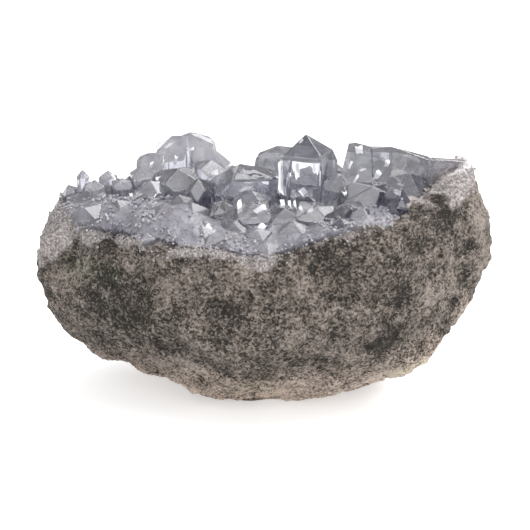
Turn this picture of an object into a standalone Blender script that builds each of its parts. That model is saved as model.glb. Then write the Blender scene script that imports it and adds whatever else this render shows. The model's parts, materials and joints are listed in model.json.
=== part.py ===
"""A celestite cluster: half of a rounded nodule of rough rock, with crystals grown together on its broken face.

Units are metres, +Z is up and -Y is the side that faces the viewer. The origin is on the surface that the
rock rests on, under the middle of the specimen.
"""

import math
import random
from dataclasses import dataclass

import bmesh
import bpy
from mathutils import Matrix, Vector, noise

MM = 0.001

# Driving sizes of the whole nodule.
HALF_WIDTH = 60.0 * MM
HALF_DEPTH = 44.0 * MM
MIDDLE_HEIGHT = 31.0 * MM

# The outline of the nodule from the front, (x, z) in millimetres, from the right side up over the top and round.
# The part above the rim is never seen, because the broken face cuts it off.
FRONT_OUTLINE = (
    (56.9, 35), (59.6, 41), (59.0, 46), (56.3, 52.5), (53.4, 60.5), (34, 76), (0, 79), (-28, 72), (-45, 62),
    (-53.0, 53.5), (-57.6, 45), (-59.6, 34), (-58, 27), (-54, 20.0), (-50.5, 13.6), (-46, 10.4), (-35, 7.0),
    (-20, 4.6), (-8, -0.6), (5, -2.6), (19, 0.4), (33, 6.2), (41, 8.2), (45.5, 13), (50.5, 21.5), (55, 28),
)
# Flat places on the nodule: (direction that the flat faces, distance of the flat from the middle in mm).
FLATS = (
    ((0.62, -0.74, -0.16), 45.5),
    ((-0.55, -0.80, 0.10), 44.5),
    ((-0.42, -0.60, -0.68), 36.2),
    ((0.20, -0.72, -0.66), 36.6),
    ((0.05, -0.97, 0.20), 41.5),
    ((0.02, -0.50, -0.87), 32.6),
    ((0.70, 0.68, -0.20), 46.5),
    ((-0.66, 0.72, -0.15), 45.0),
    ((-0.10, 0.85, -0.52), 40.0),
    ((0.45, 0.50, -0.74), 38.5),
    ((-0.05, 0.99, 0.10), 42.5),
)
# Dents in the front of the skin, (x, z, radius, depth) in millimetres.
FRONT_DENTS = (
    (-13, 29, 5.0, 1.5), (28, 33, 5.5, 1.6), (-30, 37, 5.0, 1.1), (34, 47, 4.5, 1.2), (50, 53, 2.6, 1.4),
    (-43, 24, 4.5, 1.0), (8, 14, 5.5, 1.2), (6, 41, 3.5, -1.2), (44, 30, 6.0, -1.2), (-22, 15, 5.5, -1.2),
)
ROCK_SUBDIVISIONS = 5
ROCK_KEPT = 0.70
LUMP_HEIGHT = 1.7 * MM
LUMP_SIZE = 15.0 * MM
PIT_DEPTH = 0.6 * MM
PIT_SIZE = 6.0 * MM
# The ledge low on the right of the front: it lies outside a line on the front view.
LEDGE_PLACE = Vector((41.0, 0.0, 14.0)) * MM
LEDGE_FACING = Vector((0.72, 0.0, -0.69))
LEDGE_STEP = 1.5 * MM
LEDGE_BLEND = 1.6 * MM

# Height of the broken rim of the nodule at each bearing: degrees from +X towards +Y, height in mm.
RIM_HEIGHTS = (
    (0, 62), (30, 58), (60, 54), (90, 50.5), (120, 50), (150, 51), (180, 52.3), (200, 51), (215, 47),
    (235, 46.5), (250, 46.4), (259, 46.4), (265, 44.4), (273, 44.2), (280, 47.6), (288, 50.2), (300, 52),
    (315, 54.2), (328, 58), (345, 61.6),
)
# Height of the druse away from the rim, (x, height) in mm.
DRUSE_HEIGHTS = ((-52, 51.5), (-40, 53), (-24, 53.5), (-6, 50), (10, 49.5), (26, 52), (40, 55.5), (52, 57))
DRUSE_EDGE = (0.60, 0.98)
DRUSE_ROUGHNESS = 1.1 * MM
FIELD_MARGIN = 1.12
FIELD_CELLS_X = 26
FIELD_CELLS_Y = 20
SKY = 110.0 * MM

# The druse that carries the crystals: a layer of small intergrown crystals over the rock.
CRYSTAL_GAP = 0.3 * MM
DRUSE_THICKNESS = 6.5 * MM
DRUSE_RIM_THICKNESS = 1.1 * MM
DRUSE_TAPER = (0.45, 0.88)
DRUSE_ROOT = 3.0 * MM
DRUSE_INSET = 0.955
DRUSE_LIMIT_SUBDIVISIONS = 4

ROCK_COLOUR = (0.33, 0.29, 0.26, 1.0)
CRYSTAL_COLOUR = (0.66, 0.68, 0.78, 1.0)
FILL_SEED = 11


@dataclass(frozen=True)
class Crystal:
    """One celestite prism. Lengths are in millimetres and angles in degrees.

    tip is where the sloping end faces meet, lean is how far the prism tips to the right and to the viewer,
    spin turns it about its own length, and slopes are how far the end faces to the right, left, front and
    back drop from level.
    """

    tip: tuple
    lean: tuple
    spin: float
    width: float
    depth: float
    length: float
    slopes: tuple
    tip_shift: tuple = (0.0, 0.0)
    corner: float = 0.12


# The crystals that stand out, from left to right.
STANDING_CRYSTALS = (
    # The left cluster, a dome of cloudy blocks.
    Crystal((-19.9, 9, 67.4), (3, 6), 16, 11.5, 13, 28, (22, 40, 52, 40), (-1.0, 0), 0.22),
    Crystal((-24.4, 6, 66.4), (-4, 6), 6, 8.6, 11, 27, (8, 34, 46, 40), (0.3, 0), 0.24),
    Crystal((-30.2, 3, 62.6), (-6, 8), -10, 7.6, 10, 24, (10, 24, 44, 40), (-0.3, 0), 0.22),
    Crystal((-14.4, 6, 63.6), (10, 6), -12, 9, 11, 24, (42, 16, 48, 40), (-0.5, 0), 0.22),
    Crystal((-14.0, 0, 61.0), (6, 12), 20, 7.6, 8, 20, (32, 28, 40, 30), (0, 0), 0.28),
    Crystal((-22.2, -7, 60.9), (0, 18), 12, 10.4, 9.5, 20, (30, 32, 42, 30), (0, 0), 0.28),
    Crystal((-29.2, -9, 57.0), (-10, 16), -20, 6.6, 7, 17, (40, 30, 40, 30), (0, 0), 0.24),
    Crystal((-32.2, 0, 59.6), (-10, 8), 12, 6.4, 7, 18, (26, 34, 40, 36), (0, 0), 0.2),
    # The dark point before it, and the small bright ones at its foot.
    Crystal((-17.0, -15, 59.8), (2, 8), 2, 7.2, 6.4, 17, (56, 58, 58, 50), (0, 0), 0.42),
    Crystal((-12.8, -22, 54.8), (-6, 20), 12, 5.0, 5.0, 13, (46, 52, 46, 40)),
    Crystal((-21.4, -19, 55.4), (-4, 22), -16, 6.4, 6.0, 13, (34, 38, 46, 40)),
    # The leaning slab left of the middle, with the blocks that grow from its foot.
    Crystal((-6.4, -11, 62.6), (2, 6), 10, 15.5, 13, 25, (15, 44, 20, 38), (-1.0, 0), 0.14),
    Crystal((-3.2, -20, 57.2), (6, 18), -16, 8.5, 7, 18, (30, 34, 46, 30)),
    Crystal((-10.6, -22, 55.0), (-6, 20), 24, 7, 6, 16, (38, 34, 46, 30)),
    Crystal((-2.8, -28, 55.8), (0, 22), 8, 8, 8, 17, (30, 34, 42, 30)),
    Crystal((-7.8, -31, 51.6), (-4, 34), -8, 6.5, 5.5, 12, (28, 30, 30, 26)),
    # The clear spire in the middle and its neighbour behind.
    Crystal((10.5, -7, 69.6), (1, 3), -22, 10.8, 14.0, 28, (38, 50, 46, 42), (-0.3, -2.0), 0.05),
    Crystal((3.4, 6, 64.7), (6, 2), -6, 11.5, 14, 25, (0, 33, 44, 40), (-0.6, 0)),
    Crystal((19.6, -10, 59.4), (8, 10), -18, 7.5, 8, 18, (50, 28, 40, 38)),
    Crystal((4.8, -26, 54.0), (4, 28), 16, 8.5, 7.5, 15, (28, 30, 40, 28)),
    Crystal((12.4, -26, 54.4), (4, 30), -8, 9, 7, 15, (26, 28, 36, 28)),
    # The broad block on the right, and the low crystals at its foot.
    Crystal((24.2, 6, 65.4), (13, 4), -5, 16, 16, 26, (0, 24, 50, 40), (-6.0, 0), 0.08),
    Crystal((33.5, 6, 64.4), (8, 4), 10, 17, 14, 22, (12, 8, 50, 36), (-3.0, 0)),
    Crystal((27.0, -16, 58.0), (2, 28), 4, 15, 10, 18, (20, 24, 40, 30)),
    Crystal((36.8, -11, 60.2), (12, 22), -14, 9, 9, 17, (36, 24, 44, 30)),
    Crystal((21.4, -25, 54.6), (-4, 32), 18, 7, 6, 13, (36, 34, 40, 30)),
    # The larger crystals behind, which the front ones hide in the picture.
    Crystal((-9.0, 21, 57.0), (-4, -16), 24, 12, 11, 18, (34, 40, 44, 40)),
    Crystal((14.4, 22, 57.8), (6, -14), -14, 13, 12, 19, (40, 30, 44, 46)),
    Crystal((31.0, 19, 59.2), (12, -12), 32, 12, 10, 18, (36, 42, 40, 40)),
    Crystal((-27.0, 19, 56.4), (-10, -14), -22, 12, 12, 18, (40, 30, 40, 44)),
    Crystal((2.4, 31, 53.4), (2, -28), 10, 9, 9, 14, (36, 36, 40, 40)),
    # The thin rim at the left end.
    Crystal((-47.2, -4, 59.0), (-4, 6), 20, 3.0, 3.0, 8, (50, 58, 52, 50)),
    Crystal((-40.8, -3, 58.6), (4, 4), -10, 4.0, 4.2, 9, (34, 40, 44, 40), (0, 0), 0.2),
    Crystal((-43.8, -7, 57.0), (-2, 14), 35, 4.2, 3.8, 8, (44, 44, 48, 40)),
    Crystal((-36.8, -6, 57.2), (2, 14), 12, 5.0, 4.6, 9, (36, 30, 44, 40)),
    Crystal((-45.2, -19, 52.6), (-14, 30), -10, 7.0, 6.0, 12, (28, 30, 26, 30)),
)
FILL_COUNT = 132
FILL_REACH = 0.88
FILL_WIDTH = (5.6, 10.0)
FILL_HEIGHT = (3.2, 6.5)
FILL_CLEARANCE = 0.5


def clear_scene():
    """Removes whatever the scene starts with."""
    for obj in list(bpy.data.objects):
        bpy.data.objects.remove(obj)


def new_collection(name):
    """A collection in the scene."""
    collection = bpy.data.collections.new(name)
    bpy.context.scene.collection.children.link(collection)
    return collection


def new_material(name, colour, roughness, transmission=0.0):
    """A Principled material with the piece's colour."""
    material = bpy.data.materials.new(name)
    material.use_nodes = True
    shader = material.node_tree.nodes["Principled BSDF"]
    shader.inputs["Base Color"].default_value = colour
    shader.inputs["Roughness"].default_value = roughness
    shader.inputs["Transmission Weight"].default_value = transmission
    return material


def object_from(bm, name, collection, helper=False):
    """An object of a finished bmesh. A helper is hidden from the render, because it is only a cutter."""
    bmesh.ops.recalc_face_normals(bm, faces=bm.faces)
    bmesh.ops.triangulate(bm, faces=bm.faces)
    mesh = bpy.data.meshes.new(name)
    bm.to_mesh(mesh)
    bm.free()
    obj = bpy.data.objects.new(name, mesh)
    collection.objects.link(obj)
    if helper:
        obj.hide_render = True
        obj.display_type = "WIRE"
    return obj


def add_boolean(obj, operation, other):
    """A Boolean modifier with the exact solver."""
    modifier = obj.modifiers.new(operation.title(), "BOOLEAN")
    modifier.operation = operation
    modifier.solver = "EXACT"
    modifier.object = other


def smooth_share(low, high, value):
    """How far a value is from low to high, from 0 to 1, easing in and out."""
    share = min(1.0, max(0.0, (value - low) / (high - low)))
    return share * share * (3.0 - 2.0 * share)


def along(table, place):
    """The value at a place, from a table of (place, value) rows in rising order."""
    if place <= table[0][0]:
        return table[0][1]
    for (low, first), (high, second) in zip(table, table[1:]):
        if place <= high:
            return first + (second - first) * smooth_share(low, high, place)
    return table[-1][1]


def at_angle(table, angle):
    """The value at an angle in degrees, from a table of (angle, value) rows round the circle."""
    rows = sorted((row[0] % 360.0, row[1]) for row in table)
    rows = [(rows[-1][0] - 360.0, rows[-1][1]), *rows, (rows[0][0] + 360.0, rows[0][1])]
    return along(rows, angle % 360.0)


def outline_table():
    """The front outline as (angle, distance from the middle in metres) rows."""
    rows = []
    for x, z in FRONT_OUTLINE:
        dx, dz = x * MM, z * MM - MIDDLE_HEIGHT
        rows.append((math.degrees(math.atan2(dz, dx)), math.hypot(dx, dz)))
    return rows


def nodule_point(direction, outline):
    """Where the nodule's skin lies in a direction from its middle, before its flats and lumps."""
    boxiness = 2.35
    across = (1.0 - abs(direction.y) ** boxiness) ** (1.0 / boxiness)
    reach = at_angle(outline, math.degrees(math.atan2(direction.z, direction.x)))
    flat = math.hypot(direction.x, direction.z)
    if flat < 1e-6:
        return Vector((0.0, math.copysign(HALF_DEPTH, direction.y), MIDDLE_HEIGHT))
    return Vector((
        reach * across * direction.x / flat,
        HALF_DEPTH * direction.y,
        MIDDLE_HEIGHT + reach * across * direction.z / flat,
    ))


def pressed_to_flats(point):
    """The point moved in to the nodule's flat places, with a little left of what stood proud."""
    kept = 0.22
    offset = point - Vector((0.0, 0.0, MIDDLE_HEIGHT))
    for facing, distance in FLATS:
        normal = Vector(facing).normalized()
        proud = offset.dot(normal) - distance * MM
        if proud > 0.0:
            offset -= normal * proud * (1.0 - kept)
    return offset + Vector((0.0, 0.0, MIDDLE_HEIGHT))


def skin_relief(point):
    """How far the rough skin stands out at a point: broad lumps, less pits, dents and the ledge's step."""
    lumps = noise.fractal(point / LUMP_SIZE, 1.0, 2.1, 3) * LUMP_HEIGHT
    pits = max(0.0, noise.noise(point / PIT_SIZE + Vector((7.0, 3.0, 5.0)))) * PIT_DEPTH * 2.0
    if point.y > 0.0:
        return lumps - pits
    past_ledge = (point - LEDGE_PLACE).dot(LEDGE_FACING.normalized())
    step = LEDGE_STEP * smooth_share(0.0, LEDGE_BLEND, past_ledge)
    dents = 0.0
    for x, z, radius, depth in FRONT_DENTS:
        apart = math.hypot(point.x - x * MM, point.z - z * MM) / (radius * MM)
        dents += depth * MM * (1.0 - smooth_share(0.3, 1.0, apart))
    return lumps - pits - step - dents


def druse_height(x, y):
    """Height of the druse that covers the broken face, over a place on the plan."""
    bearing = math.degrees(math.atan2(y / HALF_DEPTH, x / HALF_WIDTH))
    reach = math.hypot(x / HALF_WIDTH, y / HALF_DEPTH)
    inner = along(DRUSE_HEIGHTS, x / MM) * MM
    rim = at_angle(RIM_HEIGHTS, bearing) * MM
    rough = noise.fractal(Vector((x, y, 0.0)) / (9.0 * MM), 1.0, 2.0, 3) * DRUSE_ROUGHNESS
    return inner + (rim - inner) * smooth_share(*DRUSE_EDGE, reach) + rough


def druse_thickness(x, y):
    """How thick the druse is over a place on the plan."""
    reach = math.hypot(x / HALF_WIDTH, y / HALF_DEPTH)
    taper = smooth_share(*DRUSE_TAPER, reach)
    return DRUSE_THICKNESS + (DRUSE_RIM_THICKNESS - DRUSE_THICKNESS) * taper


def block_over_face(lift, top=None):
    """A closed block whose underside is the rock's broken face, raised by lift, and whose top is level.

    With no top, the block's top is the surface of the druse.
    """
    bm = bmesh.new()
    bmesh.ops.create_grid(bm, x_segments=FIELD_CELLS_X, y_segments=FIELD_CELLS_Y, size=1.0)
    for vertex in bm.verts:
        vertex.co.x *= HALF_WIDTH * FIELD_MARGIN
        vertex.co.y *= HALF_DEPTH * FIELD_MARGIN
        face = druse_height(vertex.co.x, vertex.co.y) - druse_thickness(vertex.co.x, vertex.co.y)
        vertex.co.z = face + lift
    above = bmesh.ops.extrude_face_region(bm, geom=bm.faces[:])
    for vertex in (item for item in above["geom"] if isinstance(item, bmesh.types.BMVert)):
        vertex.co.z = druse_height(vertex.co.x, vertex.co.y) if top is None else top
    return bm


def make_rock(parts, cutters, outline):
    """The nodule's rock: a lumpy skin, with a flat to rest on and the broken face cut out of its top."""
    bm = bmesh.new()
    bmesh.ops.create_icosphere(bm, subdivisions=ROCK_SUBDIVISIONS, radius=1.0)
    for vertex in bm.verts:
        direction = vertex.co.normalized()
        point = pressed_to_flats(nodule_point(direction, outline))
        vertex.co = point + direction * skin_relief(point)
    rock = object_from(bm, "matrix_rock", parts)
    coarser = rock.modifiers.new("Coarser", "DECIMATE")
    coarser.ratio = ROCK_KEPT
    ground = box_below("ground", cutters)
    add_boolean(rock, "DIFFERENCE", ground)
    above_face = object_from(block_over_face(0.0, SKY), "above_face", cutters, helper=True)
    add_boolean(rock, "DIFFERENCE", above_face)
    return rock


def box_below(name, collection):
    """A box whose top is the level surface that the rock rests on."""
    bm = bmesh.new()
    bmesh.ops.create_cube(bm, size=4.0 * HALF_WIDTH)
    bmesh.ops.translate(bm, vec=(0.0, 0.0, -2.0 * HALF_WIDTH), verts=bm.verts)
    return object_from(bm, name, collection, helper=True)


def cut_flat(bm, place, facing):
    """Cuts off what lies beyond a plane and closes the cut with one face."""
    geometry = bm.verts[:] + bm.edges[:] + bm.faces[:]
    cut = bmesh.ops.bisect_plane(bm, geom=geometry, dist=1e-7, plane_co=place, plane_no=facing, clear_outer=True)
    edges = [item for item in cut["geom_cut"] if isinstance(item, bmesh.types.BMEdge)]
    if len(edges) > 2:
        bmesh.ops.contextual_create(bm, geom=edges)


def crystal_frame(crystal):
    """The matrix that places a crystal with its tip where it belongs."""
    lean_right, lean_front = (math.radians(angle) for angle in crystal.lean)
    turn = Matrix.Rotation(math.radians(crystal.spin), 4, "Z")
    tilt = Matrix.Rotation(lean_right, 4, "Y") @ Matrix.Rotation(lean_front, 4, "X")
    return Matrix.Translation(Vector(crystal.tip) * MM) @ tilt @ turn


def make_crystal(name, crystal, collection):
    """One prism: a block whose top is cut to a point by four faces and whose long edges may be cut off."""
    size = Vector((crystal.width, crystal.depth, crystal.length)) * MM
    bm = bmesh.new()
    bmesh.ops.create_cube(bm, size=1.0)
    bmesh.ops.scale(bm, vec=size, verts=bm.verts)
    bmesh.ops.translate(bm, vec=(0.0, 0.0, -size.z / 2.0), verts=bm.verts)
    shift = Vector((crystal.tip_shift[0], crystal.tip_shift[1], 0.0)) * MM
    sides = (Vector((1, 0, 0)), Vector((-1, 0, 0)), Vector((0, -1, 0)), Vector((0, 1, 0)))
    for side, slope in zip(sides, crystal.slopes):
        drop = math.radians(slope)
        cut_flat(bm, shift, side * math.sin(drop) + Vector((0, 0, math.cos(drop))))
    if crystal.corner > 0.0:
        for x, y in ((1, -1), (-1, -1)):
            facing = Vector((x * size.y, y * size.x, 0.0)).normalized()
            corner = Vector((x * size.x, y * size.y, 0.0)) / 2.0
            cut_flat(bm, corner * (1.0 - crystal.corner), facing)
    bmesh.ops.translate(bm, vec=-shift, verts=bm.verts)
    bmesh.ops.transform(bm, matrix=crystal_frame(crystal), verts=bm.verts)
    return object_from(bm, name, collection, helper=True)


def fill_crystals():
    """The smaller crystals that cover the druse between those that stand out, spread by a golden spiral."""
    rng = random.Random(FILL_SEED)
    golden = math.pi * (3.0 - math.sqrt(5.0))
    found = []
    for step in range(FILL_COUNT):
        reach = FILL_REACH * math.sqrt((step + 0.5) / FILL_COUNT)
        bearing = step * golden + rng.uniform(-0.2, 0.2)
        x = HALF_WIDTH * reach * math.cos(bearing) / MM
        y = HALF_DEPTH * reach * math.sin(bearing) / MM
        width = rng.uniform(*FILL_WIDTH) * (1.1 - 0.4 * reach)
        depth = width * rng.uniform(0.75, 1.1)
        height = rng.uniform(*FILL_HEIGHT) * (1.15 - 0.75 * reach)
        lean_out = 24.0 * reach
        spin = rng.uniform(0, 90)
        lean = (
            lean_out * math.cos(bearing) + rng.uniform(-12, 12),
            -lean_out * math.sin(bearing) + rng.uniform(-10, 12),
        )
        slopes = tuple(rng.uniform(26, 52) for _ in range(4))
        top = druse_height(x * MM, y * MM) / MM + height
        crystal = Crystal((x, y, top), lean, spin, width, depth, height + 5.0, slopes, (0, 0), 0.0)
        if clear_of_standing(crystal):
            found.append(crystal)
    return found


def clear_of_standing(crystal):
    """True unless the crystal's tip would lie inside one that stands out, or hide it from the front."""
    for other in STANDING_CRYSTALS:
        across = Vector(crystal.tip[:2]) - Vector(other.tip[:2])
        if across.length < FILL_CLEARANCE * max(other.width, other.depth) and crystal.tip[2] < other.tip[2]:
            return False
    return True


def make_crystals(parts, cutters, outline):
    """The crystals, grown together with the druse that carries them into one solid."""
    prisms = [
        make_crystal(f"prism_{number:02d}", crystal, cutters)
        for number, crystal in enumerate((*STANDING_CRYSTALS, *fill_crystals()))
    ]
    druse = object_from(block_over_face(-DRUSE_ROOT), "celestite_crystals", parts)
    limit = druse_limit(cutters, outline)
    add_boolean(druse, "INTERSECT", limit)
    for prism in prisms:
        add_boolean(druse, "UNION", prism)
    space = object_from(block_over_face(CRYSTAL_GAP, SKY), "crystal_space", cutters, helper=True)
    add_boolean(druse, "INTERSECT", space)
    return druse


def druse_limit(cutters, outline):
    """The wall that the druse stays inside: the nodule's skin, drawn in a little."""
    bm = bmesh.new()
    bmesh.ops.create_icosphere(bm, subdivisions=DRUSE_LIMIT_SUBDIVISIONS, radius=1.0)
    middle = Vector((0.0, 0.0, MIDDLE_HEIGHT))
    for vertex in bm.verts:
        point = pressed_to_flats(nodule_point(vertex.co.normalized(), outline))
        wander = 0.018 * noise.noise(point / (8.0 * MM))
        vertex.co = middle + (point - middle) * (DRUSE_INSET + wander)
    return object_from(bm, "druse_limit", cutters, helper=True)


def main():
    """Builds the rock and the crystals."""
    clear_scene()
    parts = new_collection("celestite_cluster")
    cutters = new_collection("cutters")
    outline = outline_table()
    rock = make_rock(parts, cutters, outline)
    rock.data.materials.append(new_material("rough_rock", ROCK_COLOUR, 0.9))
    crystals = make_crystals(parts, cutters, outline)
    crystals.data.materials.append(new_material("celestite", CRYSTAL_COLOUR, 0.08, 0.9))


main()
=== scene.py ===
"""Looks of the celestite cluster: clear and cloudy crystals on the broken face of a rough nodule of rock.

Lengths are in metres, and sizes in millimetres are multiplied by MM. +Z is up and -Y faces the camera.
"""

import json
import logging
import math
import random
from collections.abc import Iterator, Sequence
from contextlib import contextmanager
from dataclasses import dataclass, field
from enum import Enum

import bpy
from mathutils import Matrix, Vector, noise
from mathutils.bvhtree import BVHTree

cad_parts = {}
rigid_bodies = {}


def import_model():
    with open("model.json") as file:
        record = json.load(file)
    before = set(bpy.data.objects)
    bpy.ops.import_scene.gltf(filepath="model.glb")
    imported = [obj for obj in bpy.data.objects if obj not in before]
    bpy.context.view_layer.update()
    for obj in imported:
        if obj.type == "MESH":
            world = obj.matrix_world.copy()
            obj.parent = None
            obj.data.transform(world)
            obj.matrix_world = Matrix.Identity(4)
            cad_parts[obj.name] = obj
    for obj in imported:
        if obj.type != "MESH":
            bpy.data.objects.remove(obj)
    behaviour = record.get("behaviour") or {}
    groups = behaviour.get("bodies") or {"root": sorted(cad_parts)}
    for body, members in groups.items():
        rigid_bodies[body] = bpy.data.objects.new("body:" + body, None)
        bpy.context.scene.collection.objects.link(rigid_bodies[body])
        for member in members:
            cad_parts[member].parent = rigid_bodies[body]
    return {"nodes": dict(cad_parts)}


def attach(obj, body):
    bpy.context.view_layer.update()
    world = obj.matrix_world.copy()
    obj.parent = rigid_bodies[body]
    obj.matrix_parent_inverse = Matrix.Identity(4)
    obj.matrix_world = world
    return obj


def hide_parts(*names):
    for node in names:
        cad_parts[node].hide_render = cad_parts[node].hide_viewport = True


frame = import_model()

MM = 0.001
LOG = logging.getLogger("celestite")

ROCK_NODE = "matrix_rock"
CRYSTAL_NODE = "celestite_crystals"

# Sizes of the nodule and of the druse on it, as in the solids.
HALF_WIDTH = 60.0 * MM
HALF_DEPTH = 44.0 * MM
RIM_HEIGHTS = (
    (0, 62), (30, 58), (60, 54), (90, 50.5), (120, 50), (150, 51), (180, 52.3), (200, 51), (215, 47),
    (235, 46.5), (250, 46.4), (259, 46.4), (265, 44.4), (273, 44.2), (280, 47.6), (288, 50.2), (300, 52),
    (315, 54.2), (328, 58), (345, 61.6),
)
DRUSE_HEIGHTS = ((-52, 51.5), (-40, 53), (-24, 53.5), (-6, 50), (10, 49.5), (26, 52), (40, 55.5), (52, 57))
DRUSE_EDGE = (0.60, 0.98)
DRUSE_ROUGHNESS = 1.1 * MM

# Height of the line on the front where the brown skin gives way to the pale rind, (x, height) in mm.
RIND_LINE = (
    (-60, 37), (-55, 39.5), (-50, 42), (-46, 44.5), (-38, 46), (-30, 47), (-20, 45), (-7, 44.5), (-1, 42.5), (5, 46),
    (15, 48), (21, 51), (30, 53.5), (38, 55.5), (45, 57), (52, 57.5), (60, 58.5),
)
RIND_RAGGED = 3.2 * MM
RIND_RAGGED_SIZE = 5.0 * MM
# The shore on the plan where the druse gives way to bare rock at the right end, (y, x) in mm.
SHORE = ((-33, 33.0), (-14, 39.0), (2, 43.5), (14, 46.0), (30, 41.0))
SHORE_RAGGED = 3.0 * MM
SHORE_RAGGED_SIZE = 7.0 * MM


def smooth_share(low: float, high: float, value: float) -> float:
    """How far a value is from low to high, easing in and out.

    Args:
        low: Where the share is 0.
        high: Where the share is 1.
        value: The value to place between them.

    Returns:
        The share, from 0 to 1.
    """
    share = min(1.0, max(0.0, (value - low) / (high - low)))
    return share * share * (3.0 - 2.0 * share)


def along(table: Sequence[tuple[float, float]], place: float) -> float:
    """The value at a place in a table.

    Args:
        table: (place, value) rows in rising order.
        place: Where the value is wanted.

    Returns:
        The value, eased from row to row.
    """
    if place <= table[0][0]:
        return table[0][1]
    for (low, first), (high, second) in zip(table, table[1:]):
        if place <= high:
            return first + (second - first) * smooth_share(low, high, place)
    return table[-1][1]


def at_angle(table: Sequence[tuple[float, float]], angle: float) -> float:
    """The value at an angle in a table that goes round the circle.

    Args:
        table: (angle in degrees, value) rows.
        angle: The angle in degrees.

    Returns:
        The value, eased from row to row.
    """
    rows = sorted((row[0] % 360.0, row[1]) for row in table)
    rows = [(rows[-1][0] - 360.0, rows[-1][1]), *rows, (rows[0][0] + 360.0, rows[0][1])]
    return along(rows, angle % 360.0)


def plan_reach(x: float, y: float) -> float:
    """How far out a place on the plan is, 0 at the middle and 1 at the nodule's widest."""
    return math.hypot(x / HALF_WIDTH, y / HALF_DEPTH)


def druse_height(x: float, y: float) -> float:
    """Height of the druse over a place on the plan, as in the solids.

    Args:
        x: Place to the right.
        y: Place to the back.

    Returns:
        The height of the druse's surface.
    """
    bearing = math.degrees(math.atan2(y / HALF_DEPTH, x / HALF_WIDTH))
    inner = along(DRUSE_HEIGHTS, x / MM) * MM
    rim = at_angle(RIM_HEIGHTS, bearing) * MM
    rough = noise.fractal(Vector((x, y, 0.0)) / (9.0 * MM), 1.0, 2.0, 3) * DRUSE_ROUGHNESS
    return inner + (rim - inner) * smooth_share(*DRUSE_EDGE, plan_reach(x, y)) + rough


def past_shore(x: float, y: float) -> float:
    """How far a place on the plan lies to the right of the druse's ragged shore.

    Args:
        x: Place to the right.
        y: Place to the back.

    Returns:
        The distance, below 0 on the druse's side.
    """
    ragged = noise.fractal(Vector((x, y, 0.05)) / SHORE_RAGGED_SIZE, 1.0, 2.0, 3) * SHORE_RAGGED
    return x - along(SHORE, y / MM) * MM + ragged


def only_select(obj: bpy.types.Object) -> None:
    """Selects one object and nothing else, and makes it the active one."""
    bpy.ops.object.select_all(action="DESELECT")
    obj.select_set(True)
    bpy.context.view_layer.objects.active = obj


@contextmanager
def edit_mode(obj: bpy.types.Object) -> Iterator[None]:
    """Opens one object in edit mode for the block, and closes it after.

    Args:
        obj: The mesh object to edit.
    """
    only_select(obj)
    bpy.ops.object.mode_set(mode="EDIT")
    try:
        yield
    finally:
        bpy.ops.object.mode_set(mode="OBJECT")


def settle(obj: bpy.types.Object) -> None:
    """Moves an object's place, turn and scale into its mesh."""
    only_select(obj)
    bpy.ops.object.transform_apply(location=True, rotation=True, scale=True)


def apply_modifiers(obj: bpy.types.Object) -> None:
    """Applies every modifier of an object, from the first to the last."""
    only_select(obj)
    for modifier in list(obj.modifiers):
        bpy.ops.object.modifier_apply(modifier=modifier.name)


def joined(name: str, parts: Sequence[bpy.types.Object]) -> bpy.types.Object:
    """Joins several mesh objects in one.

    Args:
        name: The name of the joined object.
        parts: The objects to join.

    Returns:
        The joined object.
    """
    bpy.ops.object.select_all(action="DESELECT")
    for part in parts:
        part.select_set(True)
    bpy.context.view_layer.objects.active = parts[0]
    bpy.ops.object.join()
    whole = bpy.context.view_layer.objects.active
    whole.name = name
    whole.data.name = name
    return whole


def copy_of_solid(node: str, name: str) -> bpy.types.Object:
    """A merged copy of a CAD node's mesh, as an object of its own.

    Args:
        node: The name of the CAD node.
        name: The name of the copy.

    Returns:
        The copy.
    """
    mesh = frame["nodes"][node].data.copy()
    copy = bpy.data.objects.new(name, mesh)
    bpy.context.scene.collection.objects.link(copy)
    mesh.materials.clear()
    with edit_mode(copy):
        bpy.ops.mesh.select_all(action="SELECT")
        bpy.ops.mesh.remove_doubles(threshold=0.00001)
    return copy


def paint(obj: bpy.types.Object, name: str, values: Sequence[float]) -> None:
    """Keeps one number for each vertex of a mesh, for a material or a scatter to read.

    Args:
        obj: The mesh object.
        name: The name of the attribute.
        values: One number for each vertex, in order.
    """
    attribute = obj.data.attributes.new(name, "FLOAT", "POINT")
    attribute.data.foreach_set("value", values)


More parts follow.
